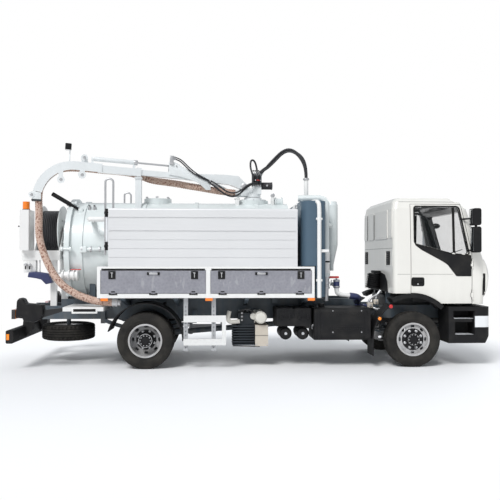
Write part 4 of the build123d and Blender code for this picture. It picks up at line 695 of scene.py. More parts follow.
for source, target in ((rays.outputs["Is Camera Ray"], seen.inputs[0]),
                       (rays.outputs["Is Transmission Ray"], seen.inputs[1]),
                       (seen.outputs[0], chosen.inputs[0]), (ambient.outputs[0], chosen.inputs[1]),
                       (backdrop.outputs[0], chosen.inputs[2]),
                       (chosen.outputs[0], sky.nodes["World Output"].inputs["Surface"])):
    sky.links.new(source, target)

# Pale floor that fades into the white backdrop
floor_mesh = bmesh.new()
bmesh.ops.create_grid(floor_mesh, x_segments=1, y_segments=1, size=60.0)
floor_data = bpy.data.meshes.new("floor")
floor_mesh.to_mesh(floor_data)
floor_mesh.free()
floor = bpy.data.objects.new("floor", floor_data)
bpy.context.scene.collection.objects.link(floor)
pale = Finish("pale_floor", {"Base Color": (0.93, 0.93, 0.94), "Roughness": 0.8})
spread = pale.node("ShaderNodeVectorMath", {"operation": "LENGTH"}, {0: pale.place}, "Value")
glow = pale.tree.nodes.new("ShaderNodeEmission")
joint = pale.tree.nodes.new("ShaderNodeMixShader")
pale.feed(joint.inputs[0], spread.over(6.2, 1.6))
for source, target in ((pale.shader.outputs[0], joint.inputs[1]), (glow.outputs[0], joint.inputs[2]),
                       (joint.outputs[0], pale.tree.nodes["Material Output"].inputs["Surface"])):
    pale.tree.links.new(source, target)
floor_data.materials.append(pale.material)

# Boom frame: along it, up and across, as the solids have it
BOOM_YAW, BOOM_PITCH = radians(10.5), radians(3.5)
HEADING = Vector((-cos(BOOM_YAW), -sin(BOOM_YAW), 0))
BOOM_SIDE = Vector((-sin(BOOM_YAW), cos(BOOM_YAW), 0))
SLEW_X = REAR_AXLE + 1.72
PIVOT = Vector((SLEW_X, 0, 2.93)) + HEADING * 0.16
BOOM_ALONG = HEADING * cos(BOOM_PITCH) + Vector((0, 0, sin(BOOM_PITCH)))
BOOM_UP = BOOM_SIDE.cross(BOOM_ALONG)
BOOM_RISE, NECK_START, NECK_RADIUS = 0.08, 2.8, 0.55
BOOM_FRAME = Matrix((BOOM_ALONG, BOOM_UP, BOOM_SIDE)).transposed().to_4x4()
BOOM_FRAME.translation = PIVOT
IN_BOOM = (BOOM_FRAME,)


def boom_point(along, up, across=0.0):
    return PIVOT + BOOM_ALONG * along + BOOM_UP * up + BOOM_SIDE * across


def from_axle(*spots):
    """Points given from the rear axle."""
    return [Vector((REAR_AXLE + x, y, z)) for x, y, z in spots]


def laid(name, line, radius, finish, slot, bodies, replaced=(), sides=12, ribs=(),
         with_pieces=()):
    """Hose along a line, riding on one body, or on none when it spans the joint of two."""
    hose = Piece(name, bodies[0] if len(bodies) == 1 else None, slot)
    hose.add(hose_shape(line, radius, sides, *ribs), finish)
    hose = hose.done(*replaced)
    if len(bodies) == 2:
        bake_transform(hose)
    length_of(line)


# Suction hose: the run under the inner boom in two lengths, then the tail over the gooseneck to the tray
SUCTION_RADIUS, SUCTION_RIBS = 0.059, (0.034, 0.005)
SPLIT_ALONG = 0.9
RUN_ROUTE = [boom_point(*spot) for spot in (
    (0.1504, -0.118, 0), (0.38, -0.118, 0), (0.7, -0.084, 0.02), (0.93, -0.06, 0.09), (1.12, -0.034, 0.132),
    (1.35, -0.024, 0.134), (1.56, -0.015, 0.131), (1.65, 0.0125, 0.1275))]
NECK_REACH = NECK_RADIUS / cos(radians(14))
TAIL_ROUTE = [boom_point(*spot) for spot in (
    (1.6504, 0.01264, 0.12756), (1.74, 0.045, 0.14), (1.93, 0.078, 0.142), (2.15, 0.084, 0.141),
    (2.38, 0.08, 0.14), (2.61, 0.08, 0.085))]
TAIL_ROUTE += [boom_point(NECK_START + NECK_REACH * sin(radians(turn)),
                          BOOM_RISE - NECK_RADIUS + NECK_REACH * cos(radians(turn))) for turn in (24, 52, 76)]
TAIL_ROUTE += from_axle(
    (-1.728, -0.645, 2.4), (-1.712, -0.745, 2.08), (-1.628, -0.815, 1.815), (-1.495, -0.9, 1.545),
    (-1.325, -0.97, 1.315), (-1.09, -1.03, 1.16), (-0.885, -1.062, 1.082), (-0.69, -1.08, 1.031),
    (-0.48, -1.084, 1.024))
run_line = route_line(RUN_ROUTE, 48)
split = min(range(len(run_line)), key=lambda at: abs((run_line[at] - PIVOT).dot(BOOM_ALONG) - SPLIT_ALONG))
tail_line = route_line(TAIL_ROUTE, 44)
for name, line, bodies in (("suction_hose_root", run_line[:split + 1], ("boom_base", "boom_arm")),
                           ("suction_hose_reach", run_line[split:], ("boom_arm", "boom_slide"))):
    laid(name, line, SUCTION_RADIUS, SUCTION, "hose_suction", bodies, ["suction_hose"], 20, SUCTION_RIBS)
coupling = Piece("hose_coupling_rings", "boom_slide", "steel")
COUPLING = [(-0.02, 0.0), (-0.02, 0.064), (0.004, 0.066), (0.012, 0.063), (0.045, 0.063), (0.05, 0.066),
            (0.062, 0.066), (0.066, 0.053), (0.092, 0.053), (0.095, 0.056), (0.105, 0.056), (0.105, 0.044),
            (0.06, 0.042), (0.06, 0.0)]
coupling.add(turned(COUPLING, TAIL_ROUTE[-1], TAIL_ROUTE[-1] - TAIL_ROUTE[-2], 40), STEEL)
coupling = coupling.done("hose_coupling")
laid("suction_tail_hose", tail_line, SUCTION_RADIUS, SUCTION, "hose_suction", ["boom_slide"],
     ["suction_tail"], 20, SUCTION_RIBS, [coupling])

# Hydraulic hose arch from the mast to the valve block
ARCH_ROUTE = from_axle(
    (2.6, -0.3, 3.0504), (2.6, -0.3, 3.19), (2.545, -0.288, 3.36), (2.445, -0.264, 3.5), (2.32, -0.235, 3.56),
    (2.2, -0.2, 3.52), (2.08, -0.15, 3.405), (1.96, -0.095, 3.28), (1.87, -0.06, 3.165))
laid("hydraulic_arch_hoses", route_line(ARCH_ROUTE, 36), 0.021, HOSE_BLACK, "hose_black",
     ("chassis", "boom_base"), ["hydraulic_arch"], 16, (0.028, 0.004))

# Tyres: walls with rings, four grooves round and notched shoulders
TYRE_HALF = [
    (-0.088, 0.2505), (-0.092, 0.264), (-0.104, 0.276), (-0.1075, 0.279), (-0.1085, 0.287), (-0.1205, 0.3),
    (-0.127, 0.318), (-0.1295, 0.3215), (-0.1325, 0.345), (-0.1312, 0.366), (-0.1285, 0.3685),
    (-0.1245, 0.391), (-0.118, 0.408), (-0.1105, 0.4205), (-0.1045, 0.4265), (-0.0975, 0.43),
    (-0.085, 0.4325), (-0.068, 0.4332), (-0.065, 0.421), (-0.057, 0.421), (-0.054, 0.4335), (-0.026, 0.4335),
    (-0.023, 0.421), (-0.015, 0.421), (-0.012, 0.4335)]
TYRE_PROFILE = TYRE_HALF + [(-along, radius) for along, radius in reversed(TYRE_HALF)] + TYRE_HALF[:1]
TYRE_STEPS = 84
SHOULDER, SHOULDER_RADIUS = (0.068, 0.105), 0.4255


def tyre_shape():
    """Tyre about the Y axis at the origin."""
    mesh = turned(TYRE_PROFILE, (0, 0, 0), (0, 1, 0), TYRE_STEPS)
    blocks = []
    for face in mesh.faces:
        middle = face.calc_center_median()
        flat = Vector((middle.x, middle.z))
        step = round((flat.angle_signed(Vector((1, 0))) % tau) / tau * TYRE_STEPS - 0.5)
        on_shoulder = flat.length > SHOULDER_RADIUS and SHOULDER[0] < abs(middle.y) < SHOULDER[1]
        if on_shoulder and step % 2 == 0:
            blocks.append(face)
    bmesh.ops.inset_individual(mesh, faces=blocks, thickness=0.003, depth=-0.007)
    return mesh


# Wheels: treads, dark hub caps, bright wheel nuts and cover screws
NUT_CIRCLE, SCREW_CIRCLE = 0.1375, 0.078
NUT = [(0.0, 0.0235), (0.005, 0.0235), (0.007, 0.019), (0.03, 0.0185), (0.034, 0.013), (0.042, 0.0115),
       (0.043, 0.0)]
FRONT_HUB = ([(0.001, 0.09), (0.004, 0.09), (0.004, 0.168), (0.0015, 0.172), (-0.002, 0.172)],
             [(0.0, 0.0935), (0.05, 0.0935), (0.058, 0.088), (0.0605, 0.062), (0.066, 0.058), (0.068, 0.045),
              (0.068, 0.0)])
REAR_HUB = ([(0.0, 0.1065), (0.155, 0.1065), (0.162, 0.102), (0.166, 0.096), (0.1665, 0.06), (0.172, 0.056),
             (0.174, 0.0)],
            [(0.001, 0.106), (0.004, 0.106), (0.004, 0.158), (-0.002, 0.16)])
# Tyre node, hub piece, body, axle, tyres across, wheel disc across, height of the screws, turned forms
WHEELS = (("front_tyre", "front_hub", "front_wheel", FRONT_AXLE, (0.985,), 1.057, 0.0595, FRONT_HUB),
          ("rear_tyres", "rear_hub", "rear_wheels", REAR_AXLE, (0.995, 0.693), 0.909, 0.165, REAR_HUB))
for side, sign in SIDES:
    outward = Vector((0, sign, 0))
    for tyres, hubs, body, axle, places, seat, screws, forms in WHEELS:
        tread = Piece(f"{tyres}_{side}_tread", f"{body}_{side}", "tyre")
        tread.add(tyre_shape(), TYRE, [Matrix.Translation((axle, sign * place, AXLE_Z)) for place in places])
        tread.done(f"{tyres}_{side}", sharp=24)
        hub = Piece(f"{hubs}_{side}", f"{body}_{side}", "cast")
        face = Vector((axle, sign * seat, AXLE_Z))
        for form in forms:
            hub.add(turned(form, face, outward), BLACK_SMOOTH)
        for along, up in circle(8, NUT_CIRCLE, 22.5):
            spot = face + Vector((along, 0, up))
            hub.add(turned(NUT, spot, outward, 6), STEEL)
            hub.add(bar(spot + outward * 0.03, spot + outward * 0.04, 0.0115, 12, 0.002), STEEL)
        for along, up in circle(10, SCREW_CIRCLE):
            hub.add(hexagon(face + Vector((along, 0, up)) + outward * screws, outward, 0.0085, 0.007), STEEL)
        hub.done()

spare = Piece("spare_tyre_tread", "chassis", "tyre")
LAID_FLAT = [Matrix.Translation((REAR_AXLE - 1.39, 0, 0.48)) @ Matrix.Rotation(pi / 2, 4, "X")]
SPARE_RIM = [(-0.085, 0.2505), (-0.096, 0.26), (-0.1, 0.262), (-0.098, 0.25), (-0.075, 0.24), (0.0, 0.232),
             (0.04, 0.215), (0.055, 0.18), (0.06, 0.08), (0.068, 0.08), (0.066, 0.19), (0.05, 0.225),
             (0.075, 0.243), (0.098, 0.25), (0.1, 0.262), (0.085, 0.2505)]
spare.add(tyre_shape(), TYRE, LAID_FLAT)
spare.add(turned(SPARE_RIM, (0, 0, 0), (0, 1, 0)), RIM, LAID_FLAT)
spare.done("spare_wheel", sharp=24)

# Cab: screen gasket, rear arch and vents, seams, intake bellows
shell, screen = surface_of("cab_shell"), surface_of("windscreen", "cab_shell")
cab_trim = Piece("cab_trim", "cab", "black_plastic")
SCREEN_EDGE = [(-0.915, 1.7), (0.915, 1.7), (0.868, 2.505), (-0.868, 2.505)]
REAR_ARCH = [(-0.7, 1.16), (-0.67, 1.33), (-0.52, 1.44), (-0.2, 1.475), (0.2, 1.465), (0.42, 1.38),
             (0.48, 1.16)]
cab_trim.add(draped(SCREEN_EDGE, screen, "x", 1, 0.004, ring=0.034, rounding=0.07), RUBBER_SEAL)
cab_trim.add(draped(REAR_ARCH, shell, "x", -1, 0.006), BLACK)
for low, high in ((-0.83, -0.61), (0.7, 0.92)):
    cab_trim.add(draped(oblong(low, 1.6, high, 1.825), shell, "x", -1, 0.005, rounding=0.02), BLACK)
    for step in range(6):
        level = 1.622 + step * 0.036
        cab_trim.add(block((2.189, low + 0.02, level), (2.197, high - 0.02, level + 0.016), 0.003),
                     BLACK_SMOOTH)
cab_trim.add(draped(oblong(-1.0, 1.868, 1.0, 1.873), shell, "x", -1, 0.0008), SEAM)
for sign in (-1, 1):
    cab_trim.add(draped(oblong(2.215, 1.4545, 2.466, 1.459), shell, "y", sign, 0.0008), SEAM)
    cab_trim.add(draped(oblong(2.25, 2.606, 3.3, 2.611), shell, "y", sign, 0.001), SEAM)
bellows = [(0.0, 0.0), (0.0, 0.105)]
for step in range(7):
    fold = step * 0.034
    bellows += [(0.012 + fold, 0.125), (0.026 + fold, 0.125), (0.031 + fold, 0.102), (0.043 + fold, 0.102)]
bellows += [(0.255, 0.0)]
cab_trim.add(turned(bellows, (2.085, -0.12, 1.2), (0.15, 0, 1), 40), BLACK)
cab_trim.add(block((2.09, -0.27, 1.455), (2.196, 0.03, 1.5), 0.012), BLACK)
cab_trim.done()

# Rounded front corners with their slots, thickest at the middle of their height
CORNER_THICK, CORNER_FALL = 0.068, 0.062
CORNER_MIDDLE, CORNER_HALF = 1.395, 0.305
CORNER_WING = ((0.8, 1.09), (1.02, 1.09), (1.03, 1.3), (1.03, 1.52), (1.01, 1.7), (0.8, 1.7))
SLOT_REAR, SLOT_FRONT = 3.638, 3.684
corners = Piece("cab_corner_panels", "cab", "cab_paint")
for sign in (-1, 1):
    wing = [(sign * across, height) for across, height in CORNER_WING]
    corner = draped(wing, shell, "x", 1, CORNER_THICK, 0.03, rounding=0.03)
    for dot in corner.verts:
        dot.co.x -= CORNER_FALL * (abs(dot.co.z - CORNER_MIDDLE) / CORNER_HALF) ** 3
    edge = BVHTree.FromBMesh(corner)
    corners.add(corner, CAB_PAINT)
    slot = oblong(SLOT_REAR, 1.12, SLOT_FRONT, 1.47)
    corners.add(draped(slot, edge, "y", sign, 0.002, 0.02, rounding=0.012), BLACK)
    for step in range(8):
        low = 1.14 + step * 0.041
        louvre = oblong(SLOT_REAR + 0.006, low, SLOT_FRONT - 0.006, low + 0.018)
        corners.add(draped(louvre, edge, "y", sign, 0.004, 0.02), BLACK_SMOOTH)
corners.done()

panels = Piece("cab_rear_pressings", "cab", "cab_paint")
for low, high in ((-0.965, -0.8), (-0.69, 0.11), (0.22, 0.62), (0.72, 0.96)):
    bead = oblong(low + 0.03, 2.06, high - 0.03, 2.47)
    panels.add(draped(oblong(low, 2.03, high, 2.5), shell, "x", -1, 0.009, 0.06, rounding=0.03), CAB_PAINT)
    panels.add(draped(bead, shell, "x", -1, 0.01, 0.06, 0.012, 0.02), CAB_PAINT)
panels.add(draped(oblong(-0.99, 1.575, -0.55, 1.845), shell, "x", -1, 0.004, 0.06, 0.014, 0.02), CAB_PAINT)
panels.done()

# Doors: window frame with quarter bar, black corner trim, handle and belt seam, inner panel and mirrors
WINDOW = [(FRONT_AXLE + x, z) for x, z in (
    (0.028, 2.547), (0.77, 2.547), (0.932, 1.756), (0.648, 1.768), (0.028, 1.932))]
DOOR_CORNER = [(REAR_AXLE + x, z) for x, z in (
    (4.226, 1.955), (4.236, 1.915), (4.342, 1.838), (4.69, 1.65), (4.756, 1.602), (4.893, 1.425),
    (5.134, 1.425), (5.134, 1.762), (4.842, 1.772), (4.244, 1.932))]
QUARTER_BAR = [(3.16, 1.8), (3.196, 1.797), (3.196, 2.52), (3.16, 2.52)]
DOOR_LINING = [(2.52, 1.02), (3.4, 1.02), (3.42, 1.7), (3.12, 1.73), (2.52, 1.88)]
# Low and high end of each mirror glass, and its place along the truck
MIRRORS = ((2.24, 2.475, 3.385), (1.815, 2.19, 3.405))
for side, sign in SIDES:
    skin, pane = surface_of(f"door_{side}"), surface_of(f"door_glass_{side}")
    body, flip = f"door_{side}_body", FLIP[side]
    trim = Piece(f"door_trim_{side}", body, "black_plastic")
    trim.add(draped(DOOR_CORNER, skin, "y", sign, 0.004, rounding=0.012), BLACK)
    trim.add(draped(WINDOW, skin, "y", sign, 0.006, ring=0.0215, rounding=0.05), RUBBER_SEAL)
    trim.add(draped(oblong(2.484, 1.268, 2.692, 1.408), skin, "y", sign, 0.004, rounding=0.03), BLACK)
    trim.add(block((2.506, -1.072, 1.335), (2.672, -1.048, 1.392), 0.011, 3), BLACK_SMOOTH, flip)
    trim.add(cross_bar(2.59, -1.045, -1.0555, 1.302, 0.013, 16, 0.002), STEEL, flip)
    trim.add(draped(oblong(2.49, 1.4545, 3.15, 1.459), skin, "y", sign, 0.0008), SEAM)
    trim.add(draped(QUARTER_BAR, pane, "y", sign, 0.016, 0.1), RUBBER_SEAL)
    trim.add(draped(DOOR_LINING, skin, "y", -sign, 0.01, 0.1, rounding=0.04), BLACK)
    trim.add(block((2.62, -0.985, 1.52), (3.08, -0.945, 1.585), 0.016, 3), BLACK_SMOOTH, flip)
    trim.done()
    housing = Piece(f"mirror_detail_{side}", body, "black_plastic")
    for low, high, rear in MIRRORS:
        housing.add(block((rear - 0.006, -1.282, low), (rear + 0.004, -1.138, high), 0.004), BLACK_SMOOTH,
                    flip)
        housing.add(block((rear - 0.0075, -1.274, low + 0.008), (rear - 0.004, -1.146, high - 0.008), 0.001),
                    CHROME, flip)
        housing.add(block((3.516, -1.262, low + 0.03), (3.5215, -1.158, high - 0.03), 0.002), BLACK, flip)
    for level in (2.34, 1.85):
        housing.add(cross_bar(3.44, -1.14, -1.118, level, 0.022, 20, 0.004), BLACK_SMOOTH, flip)
    if side == "left":
        oval = Matrix.Translation((3.62, -1.16, 2.33)) @ Matrix.Diagonal((1.0, 0.75, 0.62, 1))
        housing.add(ball((0, 0, 0), 0.085, 24), BLACK_SMOOTH, [MIRROR @ oval])
        housing.add(bar((3.5, -1.16, 2.4), (3.6, -1.16, 2.35), 0.012, 14), BLACK_SMOOTH, flip)
    housing.done()


# Seats: cushions grown by subdivision from a crowned block, on plinths, with head rests and belts
def cushion(low, high, crown):
    """Crowned closed pad: full in the middle, its sides drawn in between the corners."""
    waist = 0.06
    mesh = block(low, high)
    bmesh.ops.subdivide_edges(mesh, edges=mesh.edges[:], cuts=9, use_grid_fill=True)
    low, high = Vector(low), Vector(high)
    middle, half = (low + high) / 2, (high - low) / 2
    for dot in mesh.verts:
        spot = Vector([(dot.co[axis] - middle[axis]) / half[axis] for axis in range(3)])
        for axis in range(3):
            others = [spot[other] for other in range(3) if other != axis]
            full = (1 - others[0] ** 2) * (1 - others[1] ** 2)
            dot.co[axis] = middle[axis] + half[axis] * spot[axis] * (1 - waist + crown * full)
    bmesh.ops.smooth_vert(mesh, verts=mesh.verts[:], factor=0.4, use_axis_x=True, use_axis_y=True,
                          use_axis_z=True)
    bmesh.ops.recalc_face_normals(mesh, faces=mesh.faces[:])
    return mesh


SEATS = (-0.56, 0.56)
seats = Piece("seat_cushions", "cab", "seat_fabric")
plinths = Piece("seat_plinths", "cab", "black_plastic")
for across in SEATS:
    hinge = Vector((2.4, across, 1.52))
    lean = [Matrix.Translation(hinge) @ Matrix.Rotation(radians(-9), 4, "Y") @ Matrix.Translation(-hinge)]
    # Ends along, place across, half width, heights, crown and lean of each pad
    for (rear, front), place, half, (low, high), crown, spots in (
            ((2.43, 2.915), 0, 0.24, (1.4, 1.555), 0.1, HERE),
            ((2.47, 2.89), -0.205, 0.04, (1.455, 1.575), 0.1, HERE),
            ((2.47, 2.89), 0.205, 0.04, (1.455, 1.575), 0.1, HERE),
            ((2.375, 2.52), 0, 0.225, (1.52, 2.05), 0.1, lean),
            ((2.4, 2.555), -0.2, 0.035, (1.56, 1.98), 0.1, lean),
            ((2.4, 2.555), 0.2, 0.035, (1.56, 1.98), 0.1, lean),
            ((2.39, 2.48), 0, 0.13, (2.06, 2.215), 0.12, lean)):
        middle = across + place
        seats.add(cushion((rear, middle - half, low), (front, middle + half, high), crown), CLOTH, spots)
    plinths.add(block((2.45, across - 0.19, 1.2302), (2.88, across + 0.19, 1.405), 0.02), BLACK)
    for place in (across - 0.06, across + 0.06):
        plinths.add(bar((2.375, place, 2.02), (2.345, place, 2.11), 0.007, 12), STEEL)
    plinths.add(post(2.3, across * 1.7, 1.235, 2.2, 0.012, 12), BLACK)
seats = seats.done("seats", sharp=60)
plinths.done()

# Wipers on the windscreen
wipers = Piece("wipers", "cab", "black_plastic")
for spots in (((-0.22, 1.715), (-0.5, 1.83), (-0.82, 1.86)), ((0.5, 1.715), (0.22, 1.83), (-0.1, 1.86))):
    heel, elbow, end = (touch(screen, "x", 1, *spot) + FORE * 0.016 for spot in spots)
    wipers.add(bar(heel, elbow, 0.008, 10, 0.002), BLACK_SMOOTH)
    wipers.add(bar(elbow + (elbow - end) * 0.7, end, 0.007, 10, 0.002), BLACK_SMOOTH)
    wipers.add(bar(heel - FORE * 0.03, heel + FORE * 0.012, 0.016, 16, 0.003), BLACK)
wipers.done()

# Foot wells: gripping bars on the treads
treads = Piece("step_treads", "chassis", "steel")
for rear, level in ((3.155, 0.7552), (3.18, 0.5052)):
    for step in range(5):
        across = -1.085 + step * 0.042
        treads.add(block((rear, across, level), (3.465, across + 0.016, level + 0.007), 0.002), GALVANISED,
                   BOTH)
treads.done()

# Side flaps: square locks with keys, drop handles and hinge leaves
FLAP_SPAN = {"rear": (-2.345, -0.75), "front": (-0.685, 0.875)}
HINGE_Y, HINGE_Z, HINGE_RADIUS = -1.254, 1.162, 0.0112
LOCK_SHARE, HINGE_SHARES = 0.39, (0.12, 0.5, 0.88)


def hinge_bar(start, end):
    return long_bar(start, end, HINGE_Y, HINGE_Z, HINGE_RADIUS, 16, 0.001)


for side, sign in SIDES:
    flip = FLIP[side]
    covers = Piece(f"hinge_covers_{side}", "chassis", "black_plastic")
    for place, (rear, front) in FLAP_SPAN.items():
        middle, length = (rear + front) / 2, front - rear
        face = -abs(touch(surface_of(f"flap_{place}_{side}"), "y", sign, middle + 0.25, 1.3).y)
        fittings = Piece(f"flap_fittings_{place}_{side}", f"flap_{place}_{side}_body", "black_plastic")
        for spot in (middle - LOCK_SHARE * length, middle + LOCK_SHARE * length):
            fittings.add(plate(spot, 0.054, face, 0.0095, -0.001, 1.388, 1.512, 0.008), BLACK_SMOOTH, flip)
            fittings.add(plate(spot, 0.006, face, 0.02, 0.012, 1.412, 1.478, 0.002), STEEL, flip)
            fittings.add(plate(spot, 0.017, face, 0.02, 0.012, 1.476, 1.488, 0.003), STEEL, flip)
            fittings.add(cross_bar(spot, face - 0.009, face - 0.013, 1.456, 0.026, 24, 0.001), BLACK, flip)
        fittings.add(plate(middle, 0.077, face, 0.0165, 0, 1.456, 1.488, 0.01, 3), STEEL, flip)
        for spot in (middle - 0.079, middle + 0.079):
            fittings.add(plate(spot, 0.017, face, 0.019, -0.001, 1.45, 1.494, 0.006), BLACK, flip)
        for spot in [rear + share * length for share in HINGE_SHARES]:
            fittings.add(hinge_bar(spot - 0.0308, spot + 0.0308), BLACK, flip)
            fittings.add(plate(spot, 0.028, face, 0.003, -0.001, 1.168, 1.205, 0.001), BLACK, flip)
            for end in (-1, 1):
                covers.add(hinge_bar(spot + end * 0.0325, spot + end * 0.0602), BLACK, flip)
        fittings.done()
    covers.done()

# Jetting pump: bolted end cover, outlet elbow, valve caps and the seam of the drive box
pump = Piece("pump_fittings", "chassis", "cast")
COVER_X, COVER_Z = 0.1, 0.783
END_COVER = [(-0.004, 0.0), (-0.004, 0.097), (0.01, 0.097), (0.013, 0.091), (0.03, 0.088), (0.052, 0.078),
             (0.058, 0.055), (0.06, 0.0)]
ELBOW = [(-0.225, -0.93, 0.715), (-0.33, -0.93, 0.7), (-0.405, -0.93, 0.715), (-0.405, -0.93, 0.8),
         (-0.385, -0.93, 0.875)]
PUMP_LINE = [(-0.24, -0.86, 0.86), (-0.16, -0.9, 0.905), (-0.04, -0.9, 0.895), (0.0, -0.88, 0.83)]
pump.add(turned(END_COVER, (COVER_X, -1.038, COVER_Z), OUT_RIGHT, 40), PALE_CAST)
for along, up in circle(8, 0.086, 10):
    pump.add(hexagon((COVER_X + along, -1.046, COVER_Z + up), OUT_RIGHT, 0.009, 0.01), STEEL)
pump.add(block((0.013, -1.0225, 0.498), (0.2205, -1.018, 0.505)), SEAM)
for along, level in oblong(0.03, 0.36, 0.2, 0.64):
    pump.add(hexagon((along, -1.02, level), OUT_RIGHT, 0.01, 0.008), STEEL)
pump.add(cross_bar(-0.012, -0.88, -0.985, 0.795, 0.05, 28, 0.008), PALE_CAST)
pump.add(pipe(ELBOW, 0.033, 20), PALE_CAST)
for level in (0.735, 0.79, 0.845):
    pump.add(cross_bar(-0.19, -0.898, -0.935, level, 0.024, 20, 0.004), CAST)
    pump.add(hexagon((-0.19, -0.934, level), OUT_RIGHT, 0.014, 0.012), STEEL)
for spot in (-0.225, -0.165, -0.105):
    pump.add(post(spot, -0.8, 0.838, 0.872, 0.024, 20, 0.004), CAST)
    pump.add(hexagon((spot, -0.8, 0.871), UP, 0.014, 0.012), STEEL)
pump.add(pipe(PUMP_LINE, 0.014), CAST)
pump.add(bar((-0.335, -0.955, 0.335), (0.09, -0.955, 0.322), 0.01, 12), CAST)
pump.done()

# Batteries, air tanks and fuel tank: latches, drain bosses, straps, filler and punched step rows
store, fuel = surface_of("battery_box"), surface_of("fuel_tank")
AIR_TANK_Z = 0.53
DRAIN_BOSS = [(-0.004, 0.0), (-0.004, 0.022), (0.006, 0.022), (0.008, 0.014), (0.018, 0.013), (0.018, 0.0)]
STRAP = [(-0.009, 0.0952), (-0.009, 0.0985), (0.009, 0.0985), (0.009, 0.0952), (-0.009, 0.0952)]
FUEL_CAP = [(-0.004, 0.0), (-0.004, 0.052), (0.012, 0.052), (0.018, 0.047), (0.02, 0.0)]
PUNCHED = [(-0.002, 0.0095), (0.003, 0.0085), (0.0042, 0.006), (0.002, 0.0)]
tanks = Piece("tank_fittings", "chassis", "black_plastic")
for spot in (0.493, 0.762):
    tanks.add(turned(DRAIN_BOSS, touch(store, "y", -1, spot, AIR_TANK_Z), OUT_RIGHT, 20), GALVANISED)
    for across in (-0.99, -0.61):
        tanks.add(turned(STRAP, (spot, across, AIR_TANK_Z), OUT_RIGHT, 32), BLACK_SMOOTH)
for spot in (0.42, 0.55, 0.7, 0.83):
    face = touch(store, "y", -1, spot, 0.8)
    tanks.add(block(face + Vector((-0.016, -0.01, -0.035)), face + Vector((0.016, 0.002, 0.035)), 0.004),
              BLACK_SMOOTH)
fuel_face = touch(fuel, "y", -1, 1.4, 0.7).y
# Height of each punched row and its start along the tank
for level, first in ((0.866, 1.19), (0.843, 1.207), (0.82, 1.19), (0.64, 1.19), (0.612, 1.19), (0.584, 1.19)):
    for step in range(15):
        tanks.add(turned(PUNCHED, (first + step * 0.034, fuel_face, level), OUT_RIGHT, 10), BLACK_SMOOTH)
for spot in (1.215, 1.665):
    tanks.add(hexagon((spot, fuel_face, 0.56), OUT_RIGHT, 0.012, 0.01), STEEL)
    tanks.add(hexagon((spot, fuel_face, 0.892), OUT_RIGHT, 0.01, 0.008), STEEL)
for spot in (1.0, 1.74):
    tanks.add(plate(spot, 0.024, fuel_face, 0.004, -0.002, 0.47, 0.9, 0.002), BLACK_SMOOTH)
    tanks.add(block((spot - 0.024, -1.1, 0.9335), (spot + 0.024, -0.52, 0.939), 0.002), BLACK_SMOOTH)
tanks.add(turned(FUEL_CAP, touch(fuel, "z", 1, 1.065, -0.96), UP, 28), BLACK_SMOOTH)
tanks.add(long_bar(0.928, 0.9, -1.04, 0.66, 0.016, 16, 0.003), STEEL)
tanks.add(post(0.908, -1.04, 0.66, 0.6, 0.009, 12, 0.002), STEEL)
tanks.done()

# Front mudguards: marker lamp and reflector on the edge
GUARD_RADIUS = 0.64
lip = Piece("mudguard_lamps", "chassis", "lamp")
# The reflector's glow is painted light
for along, level, finish, radius in ((1.984, 0.748, AMBER, 0.026), (2.128, 0.96, RED_LENS, 0.03)):
    ray = Vector((along - FRONT_AXLE, 0, level - AXLE_Z)).normalized()
    seat = Vector((FRONT_AXLE, -1.1402, AXLE_Z)) + ray * GUARD_RADIUS
    lip.add(block(seat + Vector((-0.036, 0.0, -0.036)), seat + Vector((0.036, 0.006, 0.036)), 0.004), BLACK,
            BOTH)
    dome = [(-0.002, radius), (0.006, radius), (0.01, radius * 0.8), (0.011, 0.0)]
    lip.add(turned(dome, seat, OUT_RIGHT, 24), finish, BOTH)
lip.done()

# Tail: lamp housings, bar reflectors and the blank plate holder under the tray
TAIL_LAMP = [(-3.613, 0.83), (-3.6, 1.06), (-3.56, 1.105), (-3.5, 1.09), (-3.465, 1.02), (-3.215, 1.0),
             (-3.205, 0.86), (-3.26, 0.77), (-3.35, 0.735), (-3.5, 0.755), (-3.53, 0.83)]
stern = Piece("tail_lamp_housings", "chassis", "black_plastic")
stern.add(prism(TAIL_LAMP, "y", -1.205, -1.02, 0.018, 3), BLACK_SMOOTH, BOTH)
stern.add(prism(oblong(-3.613, 0.8, -3.5, 0.915), "y", -1.06, -0.84, 0.01), BLACK_SMOOTH, BOTH)
# Amber bar reflector: its glow is painted light
stern.add(block((-3.764, -1.1545, 0.465), (-3.722, -1.148, 0.555), 0.003), AMBER, BOTH)
stern.add(block((-2.78, -1.214, 0.866), (-2.393, -1.198, 0.962), 0.006), BODY_WHITE)
stern.add(block((-2.755, -1.2155, 0.893), (-2.418, -1.2, 0.938), 0.004), BLACK)
for spot in (-2.7, -2.48):
    stern.add(bar((spot, -1.2, 0.93), (spot, -1.12, 0.953), 0.01, 12), BLACK)
stern.done()

# Jetting hose reel: close windings on the core, rolled flange rims and their bolts
REEL = Vector((REAR_AXLE - 1.65, 0, 2.15))
CORE_RADIUS, WIND_TOP, WIND_HALF, WINDINGS = 0.1506, 0.355, 0.15, 10
RIM_RADIUS, RIM_HALF, RIM_PLACES = 0.429, 0.008, (-0.163, 0.163)
wind = 2 * WIND_HALF / WINDINGS
layers = [(-WIND_HALF, CORE_RADIUS)]
for step in range(WINDINGS):
    start = -WIND_HALF + step * wind
    for share, fall in ((0.02, 0.016), (0.14, 0.006), (0.32, 0.001), (0.5, 0.0), (0.68, 0.001), (0.86, 0.006),
                        (0.98, 0.016)):
        layers.append((start + share * wind, WIND_TOP - fall))
layers += [(WIND_HALF, CORE_RADIUS), (-WIND_HALF, CORE_RADIUS)]
windings = Piece("reel_windings", "reel", "hose_jet")
windings.add(turned(layers, REEL, FORE, 72), HOSE_JET)
windings.done("reel_hose")
rims = Piece("reel_rims", "reel", "tank_paint")
roll = [(along, RIM_RADIUS + up) for along, up in circle(10, RIM_HALF)]
